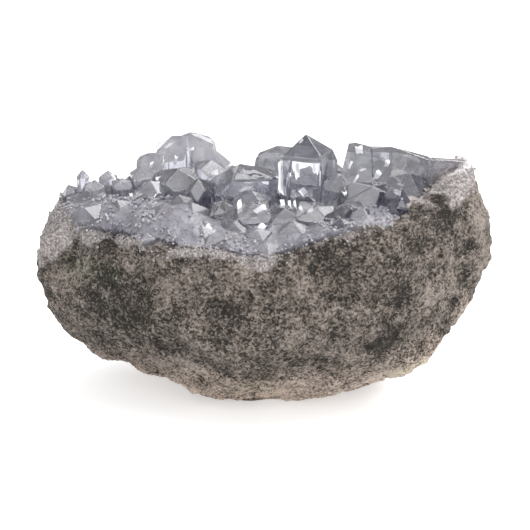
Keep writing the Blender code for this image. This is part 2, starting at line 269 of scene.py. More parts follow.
class Sheet:
    """One material, with short calls that add its nodes and join them."""

    def __init__(self, name: str) -> None:
        """Starts a material with one Principled shader and object coordinates."""
        self.material = bpy.data.materials.new(name)
        self.material.use_nodes = True
        self.tree = self.material.node_tree
        self.shader = self.tree.nodes["Principled BSDF"]
        self.output = self.tree.nodes["Material Output"]
        self.place = self.node("ShaderNodeTexCoord").outputs["Object"]

    def node(self, kind: str, **settings: object) -> bpy.types.Node:
        """Adds a node.

        Args:
            kind: The node's type name.
            **settings: The node's own settings.

        Returns:
            The node.
        """
        made = self.tree.nodes.new(kind)
        for name, value in settings.items():
            setattr(made, name, value)
        return made

    def feed(self, socket: bpy.types.NodeSocket, value: object) -> None:
        """Gives a socket a value, or joins it to another node's output."""
        if isinstance(value, bpy.types.NodeSocket):
            self.tree.links.new(value, socket)
        else:
            socket.default_value = value

    def attribute(self, name: str) -> bpy.types.NodeSocket:
        """A number that the mesh keeps for each vertex."""
        return self.node("ShaderNodeAttribute", attribute_name=name).outputs["Fac"]

    def axis(self, name: str) -> bpy.types.NodeSocket:
        """One coordinate of the place, in metres."""
        parts = self.node("ShaderNodeSeparateXYZ")
        self.feed(parts.inputs[0], self.place)
        return parts.outputs[name]

    def moved(self, offset: tuple, scale: tuple = (1.0, 1.0, 1.0), turn: tuple = (0.0, 0.0, 0.0)) -> bpy.types.NodeSocket:
        """The place after a Mapping node, to move, stretch or turn a pattern."""
        mapping = self.node("ShaderNodeMapping")
        self.feed(mapping.inputs["Vector"], self.place)
        mapping.inputs["Location"].default_value = offset
        mapping.inputs["Rotation"].default_value = turn
        mapping.inputs["Scale"].default_value = scale
        return mapping.outputs["Vector"]

    def noise(self, size: float, detail: float = 3.0, roughness: float = 0.5, place: object = None) -> bpy.types.NodeSocket:
        """Cloudy noise.

        Args:
            size: How large its largest clouds are.
            detail: How many finer layers it has.
            roughness: How strong the finer layers are.
            place: Where it is read, or None for the place itself.

        Returns:
            The noise, about 0.5 on average.
        """
        made = self.node("ShaderNodeTexNoise")
        self.feed(made.inputs["Vector"], place or self.place)
        made.inputs["Scale"].default_value = 1.0 / size
        made.inputs["Detail"].default_value = detail
        made.inputs["Roughness"].default_value = roughness
        return made.outputs[0]

    def grains(self, size: float, feature: str = "F1", place: object = None) -> bpy.types.Node:
        """Voronoi cells, with a distance and a colour of its own for each grain."""
        made = self.node("ShaderNodeTexVoronoi", feature=feature)
        self.feed(made.inputs["Vector"], place or self.place)
        made.inputs["Scale"].default_value = 1.0 / size
        return made

    def maths(self, operation: str, first: object, second: object = 0.0, third: object = 0.0) -> bpy.types.NodeSocket:
        """A sum on up to three numbers."""
        made = self.node("ShaderNodeMath", operation=operation)
        for socket, value in zip(made.inputs, (first, second, third)):
            self.feed(socket, value)
        return made.outputs[0]

    def share(self, value: object, low: float, high: float) -> bpy.types.NodeSocket:
        """How far a number is from low to high, from 0 to 1, easing in and out."""
        made = self.node("ShaderNodeMapRange", interpolation_type="SMOOTHSTEP")
        for name, given in (("Value", value), ("From Min", low), ("From Max", high)):
            self.feed(made.inputs[name], given)
        return made.outputs["Result"]

    def ramp(self, value: object, *stops: tuple) -> bpy.types.NodeSocket:
        """Colours from a number.

        Args:
            value: The number.
            *stops: (place, colour) rows in rising order.

        Returns:
            The colour.
        """
        made = self.node("ShaderNodeValToRGB")
        self.feed(made.inputs[0], value)
        elements = made.color_ramp.elements
        while len(elements) < len(stops):
            elements.new(0.5)
        for element, (place, colour) in zip(elements, stops):
            element.position = place
            element.color = (*colour, 1.0)
        return made.outputs[0]

    def mix(self, share: object, first: object, second: object, blend: str = "MIX") -> bpy.types.NodeSocket:
        """A mix of two colours.

        Args:
            share: How much of the second is in it.
            first: The first colour.
            second: The second colour.
            blend: How they blend.

        Returns:
            The mixed colour.
        """
        made = self.node("ShaderNodeMix", data_type="RGBA", blend_type=blend)
        self.feed(made.inputs[0], share)
        for socket, value in ((made.inputs[6], first), (made.inputs[7], second)):
            self.feed(socket, value if isinstance(value, bpy.types.NodeSocket) else (*value, 1.0))
        return made.outputs[2]

    def bump(self, height: object, depth: float, strength: float = 1.0, below: object = None) -> bpy.types.NodeSocket:
        """A bump from a height.

        Args:
            height: The height, 0 to 1.
            depth: How far apart 0 and 1 are.
            strength: How much of it shows.
            below: The bump under this one, or None.

        Returns:
            The bumped normal.
        """
        made = self.node("ShaderNodeBump")
        made.inputs["Strength"].default_value = strength
        made.inputs["Distance"].default_value = depth
        self.feed(made.inputs["Height"], height)
        if below is not None:
            self.feed(made.inputs["Normal"], below)
        return made.outputs[0]


@dataclass(frozen=True)
class Patch:
    """A patch of the rock's front with a tone of its own. Places and sizes are in millimetres."""

    x: float
    z: float
    wide: float
    high: float
    strength: float


@dataclass(frozen=True)
class RockFinish:
    """Weathered brown-grey rock: speckled grains, dark and light patches and a pale rind near the rim, with painted
    shade in the recesses, painted light towards the bottom and a crest made paler partly by painted light.
    """

    dark: tuple = (0.018, 0.015, 0.012)
    shade: tuple = (0.055, 0.046, 0.039)
    middle: tuple = (0.122, 0.101, 0.086)
    light: tuple = (0.325, 0.280, 0.246)
    # Multiplies the colour lighter: painted light towards the bottom, and the pale low patches on the right.
    painted_low_light_and_pale: tuple = (2.15, 2.05, 1.97)
    green: tuple = (0.88, 1.0, 0.88)
    rind: tuple = (0.55, 0.505, 0.50)
    rind_shade: tuple = (0.24, 0.215, 0.21)
    # The pale pinkish crest, made paler still as painted light on the top of it.
    crest_rind_and_painted_light: tuple = (0.86, 0.80, 0.81)
    grain: float = 0.45 * MM
    patch: float = 11.0 * MM
    dark_patches: tuple = (
        Patch(-36, 31, 15, 9, 1.0), Patch(-10, 33, 7, 3.5, 0.9), Patch(30, 35, 6, 4.5, 1.0), Patch(43, 52, 6, 5, 0.9),
        Patch(29, 24, 8, 5, 0.9), Patch(3, 17, 7, 6, 0.7), Patch(50, 58.5, 3.5, 2.0, 0.9), Patch(-42, 45, 8, 4, 0.5),
        Patch(-24, 22, 6, 4, 0.6), Patch(14, 42, 5, 5, 0.5),
    )
    light_patches: tuple = (
        Patch(-16.5, 26, 5, 5, 0.8), Patch(-25, 33, 3.5, 3, 0.8), Patch(22, 34, 5, 5, 0.8), Patch(43, 37, 9, 9, 0.7),
        Patch(-20, 14, 10, 6, 0.5), Patch(10, 30, 7, 12, 0.4), Patch(-8, 41, 16, 4, 0.5), Patch(-52, 38, 6, 10, 0.5),
        Patch(56, 48, 5, 12, 1.3), Patch(38, 9, 15, 8, 1.4), Patch(50, 25, 5, 10, 0.9), Patch(57, 36, 4, 9, 1.1),
        Patch(48, 49, 3.4, 2.4, 0.8), Patch(44.5, 46.5, 3.4, 2.4, 0.8), Patch(41, 43.5, 3.2, 2.2, 0.7),
    )
    # Pale patches low on the right, lightened the same way as the bottom.
    pale_low_patches: tuple = (Patch(41, 14, 11, 9, 0.9), Patch(51, 27, 4, 6, 0.5))
    green_patches: tuple = (
        Patch(-42, 38, 9, 4, 0.9), Patch(38, 12, 12, 5, 0.35), Patch(-4, 8, 10, 4, 0.3), Patch(-34, 28, 10, 6, 0.5),
    )

    def made(self) -> bpy.types.Material:
        """Makes the material.

        Returns:
            The material.
        """
        sheet = Sheet("weathered_brown_rock")
        warped = self.warped_place(sheet)
        grains = sheet.grains(self.grain, place=warped)
        tone = sheet.node("ShaderNodeSeparateColor")
        sheet.feed(tone.inputs[0], grains.outputs["Color"])
        clusters = sheet.noise(1.1 * MM, 3.0, 0.7)
        mottle = sheet.noise(6.0 * MM, 6.0, 0.68)
        broad = sheet.noise(self.patch, 3.0, 0.55)
        level = sheet.maths("MULTIPLY_ADD", tone.outputs[0], 0.62, -0.31)
        for layer, weight in ((clusters, 1.35), (mottle, 0.95), (broad, 0.7)):
            level = sheet.maths("ADD", level, sheet.maths("MULTIPLY_ADD", layer, weight, -0.5 * weight))
        level = sheet.maths("ADD", level, 0.50)
        level = sheet.maths("SUBTRACT", level, sheet.maths("MULTIPLY", self.where(sheet, self.dark_patches), 0.22))
        level = sheet.maths("ADD", level, sheet.maths("MULTIPLY", self.where(sheet, self.light_patches), 0.22))
        # Painted shade and light: the colour is darker in the recesses of the relief and lighter on its bumps.
        level = sheet.maths("MULTIPLY_ADD", sheet.attribute("relief"), 0.075, level)
        # Painted light: the rock gets lighter from 20 mm up down to 2 mm, where the underside lies.
        low = sheet.share(sheet.axis("Z"), 20.0 * MM, 2.0 * MM)
        level = sheet.maths("MULTIPLY_ADD", low, 0.25, level)
        skin = sheet.ramp(level, (0.14, self.dark), (0.36, self.shade), (0.52, self.middle), (1.0, self.light))
        skin = sheet.mix(self.where(sheet, self.green_patches), skin, self.green, "MULTIPLY")
        # Painted light low down: the bottom and the pale low patches are lightened and warmed.
        lit = sheet.maths("MAXIMUM", low, self.where(sheet, self.pale_low_patches))
        skin = sheet.mix(lit, skin, self.painted_low_light_and_pale, "MULTIPLY")
        pale = sheet.maths("ADD", sheet.attribute("rind"), sheet.maths("MULTIPLY_ADD", mottle, 2.2, -1.1))
        rind = sheet.mix(sheet.share(tone.outputs[1], 0.1, 0.9), self.rind_shade, self.rind)
        # Paler crest where the rind attribute passes 1: pale rind, with painted light on the top.
        rind = sheet.mix(sheet.share(sheet.attribute("rind"), 1.0, 1.5), rind, self.crest_rind_and_painted_light)
        colour = sheet.mix(sheet.maths("MULTIPLY", sheet.share(pale, 0.25, 0.85), 0.85), skin, rind)
        sheet.feed(sheet.shader.inputs["Base Color"], colour)
        sheet.shader.inputs["Roughness"].default_value = 0.88
        sheet.shader.inputs["Specular IOR Level"].default_value = 0.3
        coarse = sheet.bump(clusters, 1.2 * MM, 1.0)
        fine = sheet.bump(level, 0.35 * MM, 0.9, coarse)
        sheet.feed(sheet.shader.inputs["Normal"], fine)
        return sheet.material

    def where(self, sheet: Sheet, patches: Sequence[Patch]) -> bpy.types.NodeSocket:
        """How strongly any of some patches shows at a place, with ragged edges.

        Args:
            sheet: The material.
            patches: The patches.

        Returns:
            The strength, from 0 to about 1.
        """
        ragged = sheet.noise(6.0 * MM, 4.0, 0.6, sheet.moved((0.011, 0.023, 0.037)))
        across, up = sheet.axis("X"), sheet.axis("Z")
        total = None
        for patch in patches:
            x = sheet.maths("MULTIPLY_ADD", across, 1.0 / (patch.wide * MM), -patch.x / patch.wide)
            z = sheet.maths("MULTIPLY_ADD", up, 1.0 / (patch.high * MM), -patch.z / patch.high)
            far = sheet.maths("ADD", sheet.maths("MULTIPLY", x, x), sheet.maths("MULTIPLY", z, z))
            far = sheet.maths("ADD", far, sheet.maths("MULTIPLY_ADD", ragged, 3.0, -1.5))
            here = sheet.maths("MULTIPLY", sheet.share(far, 1.1, 0.0), patch.strength)
            total = here if total is None else sheet.maths("MAXIMUM", total, here)
        return total

    def warped_place(self, sheet: Sheet) -> bpy.types.NodeSocket:
        """The place, shaken a little so that the grains have ragged outlines."""
        shake = sheet.node("ShaderNodeTexNoise")
        sheet.feed(shake.inputs["Vector"], sheet.place)
        shake.inputs["Scale"].default_value = 1.0 / (0.9 * MM)
        offset = sheet.node("ShaderNodeVectorMath", operation="MULTIPLY_ADD")
        sheet.feed(offset.inputs[0], shake.outputs["Color"])
        offset.inputs[1].default_value = (0.5 * MM,) * 3
        sheet.feed(offset.inputs[2], sheet.place)
        return offset.outputs[0]


@dataclass(frozen=True)
class DruseFinish:
    """The soft grey mass of fine crystals that the large ones grow from."""

    pale: tuple = (0.182, 0.175, 0.198)
    deep: tuple = (0.092, 0.09, 0.110)
    stain: tuple = (0.16, 0.145, 0.135)
    rock_dark: tuple = (0.045, 0.038, 0.033)
    rock_light: tuple = (0.30, 0.265, 0.24)
    grain: float = 0.9 * MM

    def made(self) -> bpy.types.Material:
        """Makes the material.

        Returns:
            The material.
        """
        sheet = Sheet("sugary_druse")
        grains = sheet.grains(self.grain)
        tone = sheet.node("ShaderNodeSeparateColor")
        sheet.feed(tone.inputs[0], grains.outputs["Color"])
        clouds = sheet.noise(6.0 * MM, 5.0, 0.65)
        level = sheet.maths("ADD", sheet.maths("MULTIPLY", tone.outputs[0], 0.3), sheet.maths("MULTIPLY_ADD", clouds, 1.5, -0.40))
        colour = sheet.ramp(level, (0.15, self.deep), (0.75, self.pale))
        stains = sheet.share(sheet.noise(9.0 * MM, 4.0, 0.6, sheet.moved((0.03, 0.01, 0.02))), 0.56, 0.7)
        colour = sheet.mix(sheet.maths("MULTIPLY", stains, 0.5), colour, self.stain)
        specks = sheet.noise(1.1 * MM, 3.0, 0.7)
        rocky = sheet.mix(sheet.share(specks, 0.35, 0.65), self.rock_dark, self.rock_light)
        ragged = sheet.maths("ADD", sheet.attribute("edge"), sheet.maths("MULTIPLY_ADD", specks, 1.8, -0.9))
        colour = sheet.mix(sheet.share(ragged, 0.35, 0.65), colour, rocky)
        sheet.feed(sheet.shader.inputs["Base Color"], colour)
        sheet.shader.inputs["Roughness"].default_value = 0.38
        normal = sheet.bump(grains.outputs["Distance"], 0.16 * MM, 0.8)
        sheet.feed(sheet.shader.inputs["Normal"], normal)
        return sheet.material


@dataclass(frozen=True)
class CrystalFinish:
    """Celestite: glassy faces over a clear or cloudy inside with a little blue in it."""

    name: str
    transmission: float
    rough: tuple
    tint: tuple
    cloud: tuple
    blue: tuple = (0.15, 0.20, 0.46)
    blue_density: float = 9.0
    stain: tuple | None = None
    wave: float = 0.10 * MM
    wave_size: float = 5.0 * MM
    refraction: float = 1.62

    def made(self) -> bpy.types.Material:
        """Makes the material.

        Returns:
            The material.
        """
        sheet = Sheet(self.name)
        clouds = sheet.noise(5.5 * MM, 4.0, 0.6)
        colour = sheet.mix(sheet.share(clouds, 0.40, 0.66), self.tint, self.cloud)
        if self.stain is not None:
            specks = sheet.noise(1.3 * MM, 3.0, 0.6, sheet.moved((0.04, 0.02, 0.01)))
            stained = sheet.maths("ADD", sheet.attribute("stain"), sheet.maths("MULTIPLY_ADD", specks, 1.6, -0.8))
            colour = sheet.mix(sheet.share(stained, 0.2, 0.8), colour, self.stain)
        sheet.feed(sheet.shader.inputs["Base Color"], colour)
        frost = sheet.share(sheet.noise(3.0 * MM, 4.0, 0.65, sheet.moved((0.02, 0.05, 0.01))), 0.42, 0.72)
        rough = sheet.maths("MULTIPLY_ADD", frost, self.rough[1] - self.rough[0], self.rough[0])
        sheet.feed(sheet.shader.inputs["Roughness"], rough)
        sheet.shader.inputs["Transmission Weight"].default_value = self.transmission
        sheet.shader.inputs["IOR"].default_value = self.refraction
        waves = sheet.bump(sheet.noise(self.wave_size, 2.0, 0.5), self.wave, 0.9)
        steps = sheet.noise(0.9 * MM, 2.0, 0.5, sheet.moved((0.0, 0.0, 0.0), (1.0, 1.0, 0.28), (0.3, 0.2, 0.0)))
        sheet.feed(sheet.shader.inputs["Normal"], sheet.bump(steps, 0.012 * MM, 0.8, waves))
        if self.blue_density > 0.0:
            inside = sheet.node("ShaderNodeVolumeAbsorption")
            inside.inputs["Color"].default_value = (*self.blue, 1.0)
            inside.inputs["Density"].default_value = self.blue_density
            sheet.feed(sheet.output.inputs["Volume"], inside.outputs[0])
        return sheet.material


class Growth(Enum):
    """How clear a crystal has grown."""

    CLEAR = "clear"
    CLOUDY = "cloudy"
    FROSTED = "frosted"
    # Darker and bluer: partly a deeper colour of the crystal, partly painted shade on crystals in dark zones of the
    # front.
    DEEP = "deep"


@dataclass(frozen=True)
class Crystal:
    """One celestite prism. Lengths are in millimetres and angles in degrees.

    tip is where the sloping end faces meet, lean is how far the prism tips to the right and to the viewer,
    spin turns it about its own length, and slopes are how far the end faces to the right, left, front and
    back drop from level.
    """

    tip: tuple
    lean: tuple
    spin: float
    width: float
    depth: float
    length: float
    slopes: tuple
    tip_shift: tuple = (0.0, 0.0)
    corner: float = 0.12
    growth: Growth = Growth.CLEAR
    rounding: float = 1.0
    bluntest: float = 0.18
    swell: float = 0.9

    def cuts(self) -> Iterator[tuple[Vector, Vector]]:
        """The planes that shape the prism, before it is put in its place.

        Yields:
            A point of the plane and the way it faces.
        """
        swell = self.swell if self.growth is Growth.CLOUDY else 0.0
        shift = Vector((self.tip_shift[0], self.tip_shift[1], swell)) * MM
        sides = (Vector((1, 0, 0)), Vector((-1, 0, 0)), Vector((0, -1, 0)), Vector((0, 1, 0)))
        for side, slope in zip(sides, self.slopes):
            drop = math.radians(slope)
            yield shift, side * math.sin(drop) + Vector((0.0, 0.0, math.cos(drop)))
        if self.corner > 0.0:
            for x, y in ((1, -1), (-1, -1)):
                facing = Vector((x * self.depth, y * self.width, 0.0)).normalized()
                corner = Vector((x * self.width, y * self.depth, 0.0)) * MM / 2.0
                yield corner * (1.0 - self.corner), facing

    def place(self) -> Matrix:
        """The matrix that puts the prism's tip where it belongs."""
        lean_right, lean_front = (math.radians(angle) for angle in self.lean)
        turn = Matrix.Rotation(math.radians(self.spin), 4, "Z")
        tilt = Matrix.Rotation(lean_right, 4, "Y") @ Matrix.Rotation(lean_front, 4, "X")
        shift = Matrix.Translation(-Vector((self.tip_shift[0], self.tip_shift[1], 0.0)) * MM)
        return Matrix.Translation(Vector(self.tip) * MM) @ tilt @ turn @ shift

    def modelled(self, name: str, edge: float) -> bpy.types.Object:
        """Models the prism from a block: its end and its long edges are cut, then every edge is blunted.

        Args:
            name: The name of the object.
            edge: The width of the blunted edges.

        Returns:
            The prism, in its place.
        """
        size = Vector((self.width, self.depth, self.length)) * MM
        bpy.ops.object.select_all(action="DESELECT")
        bpy.ops.mesh.primitive_cube_add(size=1.0, location=(0.0, 0.0, self.swell * MM - size.z / 2.0), scale=size)
        prism = bpy.context.view_layer.objects.active
        prism.name = name
        settle(prism)
        with edit_mode(prism):
            for point, facing in self.cuts():
                bpy.ops.mesh.select_all(action="SELECT")
                bpy.ops.mesh.bisect(plane_co=point, plane_no=facing, use_fill=True, clear_outer=True, threshold=1e-7)
            if edge > 0.0:
                blunt = min(edge * self.rounding, self.bluntest * self.width * MM)
                steps = 3 if blunt > 0.3 * MM else 1
                bpy.ops.mesh.select_all(action="SELECT")
                bpy.ops.mesh.bevel(offset=blunt, segments=steps, affect="EDGES", clamp_overlap=True)
            bpy.ops.mesh.select_all(action="SELECT")
            bpy.ops.mesh.quads_convert_to_tris()
        prism.matrix_world = self.place()
        settle(prism)
        return prism


# The crystals that stand out, from left to right, as in the solids.
STANDING_CRYSTALS = (
    # The left cluster, a dome of cloudy blocks.
    Crystal((-19.9, 9, 67.4), (3, 6), 16, 11.5, 13, 28, (22, 40, 52, 40), (-1.0, 0), 0.22, growth=Growth.CLOUDY),
    Crystal((-24.4, 6, 66.4), (-4, 6), 6, 8.6, 11, 27, (8, 34, 46, 40), (0.3, 0), 0.24, growth=Growth.CLOUDY),
    Crystal((-30.2, 3, 62.6), (-6, 8), -10, 7.6, 10, 24, (10, 24, 44, 40), (-0.3, 0), 0.22, growth=Growth.CLOUDY),
    Crystal((-14.4, 6, 63.6), (10, 6), -12, 9, 11, 24, (42, 16, 48, 40), (-0.5, 0), 0.22, growth=Growth.CLOUDY),
    Crystal((-14.0, 0, 61.0), (6, 12), 20, 7.6, 8, 20, (32, 28, 40, 30), (0, 0), 0.28, growth=Growth.CLOUDY),
    Crystal((-22.2, -7, 60.9), (0, 18), 12, 10.4, 9.5, 20, (30, 32, 42, 30), (0, 0), 0.28, rounding=7.0),
    Crystal((-29.2, -9, 57.0), (-10, 16), -20, 6.6, 7, 17, (40, 30, 40, 30), (0, 0), 0.24, growth=Growth.CLOUDY),
    Crystal((-32.2, 0, 59.6), (-10, 8), 12, 6.4, 7, 18, (26, 34, 40, 36), (0, 0), 0.2, growth=Growth.CLOUDY),
    # The dark point before it, darkened partly as painted shade, and the small bright ones at its foot.
    Crystal((-17.0, -15, 59.8), (2, 8), 2, 7.2, 6.4, 17, (56, 58, 58, 50), (0, 0), 0.42, Growth.DEEP),
    Crystal((-12.8, -22, 54.8), (-6, 20), 12, 5.0, 5.0, 13, (46, 52, 46, 40), growth=Growth.DEEP),
    Crystal((-21.4, -19, 55.4), (-4, 22), -16, 6.4, 6.0, 13, (34, 38, 46, 40)),
    # The leaning slab left of the middle, with the blocks that grow from its foot.
    Crystal((-6.4, -11, 62.6), (2, 6), 10, 15.5, 13, 25, (15, 44, 20, 38), (-1.0, 0), 0.14),
    Crystal((-3.2, -20, 57.2), (6, 18), -16, 8.5, 7, 18, (30, 34, 46, 30)),
    Crystal((-10.6, -22, 55.0), (-6, 20), 24, 7, 6, 16, (38, 34, 46, 30)),
    Crystal((-2.8, -28, 55.8), (0, 22), 8, 8, 8, 17, (30, 34, 42, 30)),
    Crystal((-7.8, -31, 51.6), (-4, 34), -8, 6.5, 5.5, 12, (28, 30, 30, 26)),
    # The clear spire in the middle and its neighbour behind.
    Crystal((10.5, -7, 69.6), (1, 3), -22, 10.8, 14.0, 28, (38, 50, 46, 42), (-0.3, -2.0), 0.05),
    Crystal((3.4, 6, 64.7), (6, 2), -6, 11.5, 14, 25, (0, 33, 44, 40), (-0.6, 0)),
    Crystal((19.6, -10, 59.4), (8, 10), -18, 7.5, 8, 18, (50, 28, 40, 38)),
    Crystal((4.8, -26, 54.0), (4, 28), 16, 8.5, 7.5, 15, (28, 30, 40, 28)),
    Crystal((12.4, -26, 54.4), (4, 30), -8, 9, 7, 15, (26, 28, 36, 28)),
    # The broad block on the right, and the low crystals at its foot, two of them darkened partly as painted shade.
    Crystal((24.2, 6, 65.4), (13, 4), -5, 16, 16, 26, (0, 24, 50, 40), (-6.0, 0), 0.08),
    Crystal((33.5, 6, 64.4), (8, 4), 10, 17, 14, 22, (12, 8, 50, 36), (-3.0, 0)),
    Crystal((27.0, -16, 57.6), (2, 22), 4, 15, 10, 18, (20, 24, 56, 20), growth=Growth.DEEP),
    Crystal((36.8, -11, 60.2), (12, 22), -14, 9, 9, 17, (36, 24, 44, 30), growth=Growth.DEEP),
    Crystal((21.4, -25, 54.6), (-4, 32), 18, 7, 6, 13, (36, 34, 40, 30)),
    # The flat slab on the crest at the right end.
    Crystal((48.0, 0.5, 62.1), (4, 0), 3, 10.2, 5, 8, (2, 2, 1, 30), (0, 0), 0.0, growth=Growth.FROSTED, rounding=0.15),
    # The larger crystals behind, which the front ones hide in the picture.
    Crystal((-9.0, 21, 57.0), (-4, -16), 24, 12, 11, 18, (34, 40, 44, 40)),
    Crystal((14.4, 22, 57.8), (6, -14), -14, 13, 12, 19, (40, 30, 44, 46)),
    Crystal((31.0, 19, 59.2), (12, -12), 32, 12, 10, 18, (36, 42, 40, 40)),
    Crystal((-27.0, 19, 56.4), (-10, -14), -22, 12, 12, 18, (40, 30, 40, 44)),
    Crystal((2.4, 31, 53.4), (2, -28), 10, 9, 9, 14, (36, 36, 40, 40)),
    # The thin rim at the left end.
    Crystal((-47.2, -4, 59.0), (-4, 6), 20, 3.0, 3.0, 8, (50, 58, 52, 50), growth=Growth.CLOUDY),
    Crystal((-40.8, -3, 58.6), (4, 4), -10, 4.0, 4.2, 9, (34, 40, 44, 40), (0, 0), 0.2, growth=Growth.CLOUDY),
    Crystal((-43.8, -7, 57.0), (-2, 14), 35, 4.2, 3.8, 8, (44, 44, 48, 40), growth=Growth.CLOUDY),
    Crystal((-36.8, -6, 57.2), (2, 14), 12, 5.0, 4.6, 9, (36, 30, 44, 40), growth=Growth.CLOUDY),
    Crystal((-45.2, -19, 52.6), (-14, 30), -10, 7.0, 6.0, 12, (28, 30, 26, 30)),
)


@dataclass
class SmallerCrystals:
    """The smaller prisms that cover the druse between those that stand out, spread by a golden spiral."""

    count: int = 132
    seed: int = 11
    reach: float = 0.88
    width: tuple = (5.6, 10.0)
    height: tuple = (3.2, 6.5)
    clearance: float = 0.5
    frosted_from: float = 0.48
    bluntest: float = 0.27
    darkened_from: tuple = (17.0, -13.0)
    sunk: tuple = (0.12, 0.30)
    sunk_left: tuple = (-4.0, -18.0)
    sunk_front: tuple = (-4.0, -14.0)

    def all(self) -> list[Crystal]:
        """The prisms that have room, as in the solids.

        Returns:
            The crystals, not yet modelled.
        """
        rng = random.Random(self.seed)
        golden = math.pi * (3.0 - math.sqrt(5.0))
        found = []
        for step in range(self.count):
            reach = self.reach * math.sqrt((step + 0.5) / self.count)
            bearing = step * golden + rng.uniform(-0.2, 0.2)
            x = HALF_WIDTH * reach * math.cos(bearing) / MM
            y = HALF_DEPTH * reach * math.sin(bearing) / MM
            width = rng.uniform(*self.width) * (1.1 - 0.4 * reach)
            depth = width * rng.uniform(0.75, 1.1)
            height = rng.uniform(*self.height) * (1.15 - 0.75 * reach)
            lean_out = 24.0 * reach
            spin = rng.uniform(0, 90)
            lean = (
                lean_out * math.cos(bearing) + rng.uniform(-12, 12),
                -lean_out * math.sin(bearing) + rng.uniform(-10, 12),
            )
            slopes = tuple(rng.uniform(26, 52) for _ in range(4))
            top = druse_height(x * MM, y * MM) / MM + height
            kind = Growth.FROSTED if reach > self.frosted_from else Growth.CLEAR
            # Small crystals low at the front right are darkened, partly as painted shade.
            if x > self.darkened_from[0] and y < self.darkened_from[1]:
                kind = Growth.DEEP
            if kind is Growth.FROSTED:
                sunk = self.sunk[0] + self.sunk[1] * smooth_share(*self.sunk_left, x)
                top -= height * sunk * smooth_share(*self.sunk_front, y)
            crystal = Crystal(
                (x, y, top), lean, spin, width, depth, height + 5.0, slopes, (0, 0), 0.0, kind, bluntest=self.bluntest,
            )
            if self.has_room(crystal) and past_shore(x * MM, y * MM) < -1.0 * MM:
                found.append(crystal)
        return found

    def has_room(self, crystal: Crystal) -> bool:
        """True unless the crystal's tip would lie inside one that stands out, or hide it from the front."""
        for other in STANDING_CRYSTALS:
            across = Vector(crystal.tip[:2]) - Vector(other.tip[:2])
            if across.length < self.clearance * max(other.width, other.depth) and crystal.tip[2] < other.tip[2]:
                return False
        return True


@dataclass
class GrownCrystals:
    """The large and middling crystals, those of each kind grown together in one mass."""

    edges: dict = field(default_factory=lambda: {
        Growth.CLEAR: 0.16 * MM, Growth.CLOUDY: 1.3 * MM, Growth.FROSTED: 1.8 * MM, Growth.DEEP: 0.3 * MM,
    })
    fill: SmallerCrystals = field(default_factory=SmallerCrystals)

    def build(self) -> list[bpy.types.Object]:
        """Models the crystals and joins those of each kind.

        Returns:
            The clear mass, the cloudy one, the frosted one and the deep one, which is darkened partly as painted shade.
        """
        everyone = (*STANDING_CRYSTALS, *self.fill.all())
        made: dict[Growth, list[bpy.types.Object]] = {kind: [] for kind in Growth}
        for number, crystal in enumerate(everyone):
            made[crystal.growth].append(crystal.modelled(f"prism_{number:03d}", self.edges[crystal.growth]))
        return [self.grown_together(f"{kind.value}_crystals", prisms) for kind, prisms in made.items()]

    def grown_together(self, name: str, prisms: Sequence[bpy.types.Object]) -> bpy.types.Object:
        """Joins overlapping prisms in one closed solid.

        Args:
            name: The name of the solid.
            prisms: The prisms.

        Returns:
            The solid.
        """
        solid = joined(name, prisms)
        with edit_mode(solid):
            bpy.ops.mesh.select_all(action="SELECT")
            bpy.ops.mesh.intersect_boolean(operation="UNION", use_self=True, solver="EXACT")
        return solid

    def dress(self, masses: Sequence[bpy.types.Object]) -> None:
        """Gives the masses their finishes."""
        clear = CrystalFinish("clear_celestite", 0.95, (0.0, 0.07), (0.93, 0.94, 0.97), (0.70, 0.70, 0.75))
        cloudy = CrystalFinish(
            "cloudy_celestite", 0.80, (0.04, 0.26), (0.52, 0.52, 0.58), (0.76, 0.75, 0.78), blue_density=10.0,
        )
        frosted = CrystalFinish(
            "frosted_celestite", 0.86, (0.16, 0.38), (0.56, 0.55, 0.60), (0.68, 0.67, 0.71), blue_density=12.0,
        )
        # Darkened finish: dark tint and dense blue absorption, partly a deeper colour and partly painted shade.
        deep = CrystalFinish(
            "darkened_celestite", 0.90, (0.02, 0.16), (0.26, 0.26, 0.33), (0.40, 0.39, 0.45), blue_density=30.0,
        )
        for mass, finish in zip(masses, (clear, cloudy, frosted, deep)):
            mass.data.materials.append(finish.made())


@dataclass(frozen=True)
class Glint:
    """A painted highlight: a white flake shaped as a bright crack inside a crystal, as it lies in the front view.

    x and rise are where it lies to the right of and above the middle of the view, wide and high are its size
    there, all in millimetres, and turn is how far it leans to the left, in degrees.
    """

    x: float
    rise: float
    wide: float
    high: float
    turn: float = 0.0


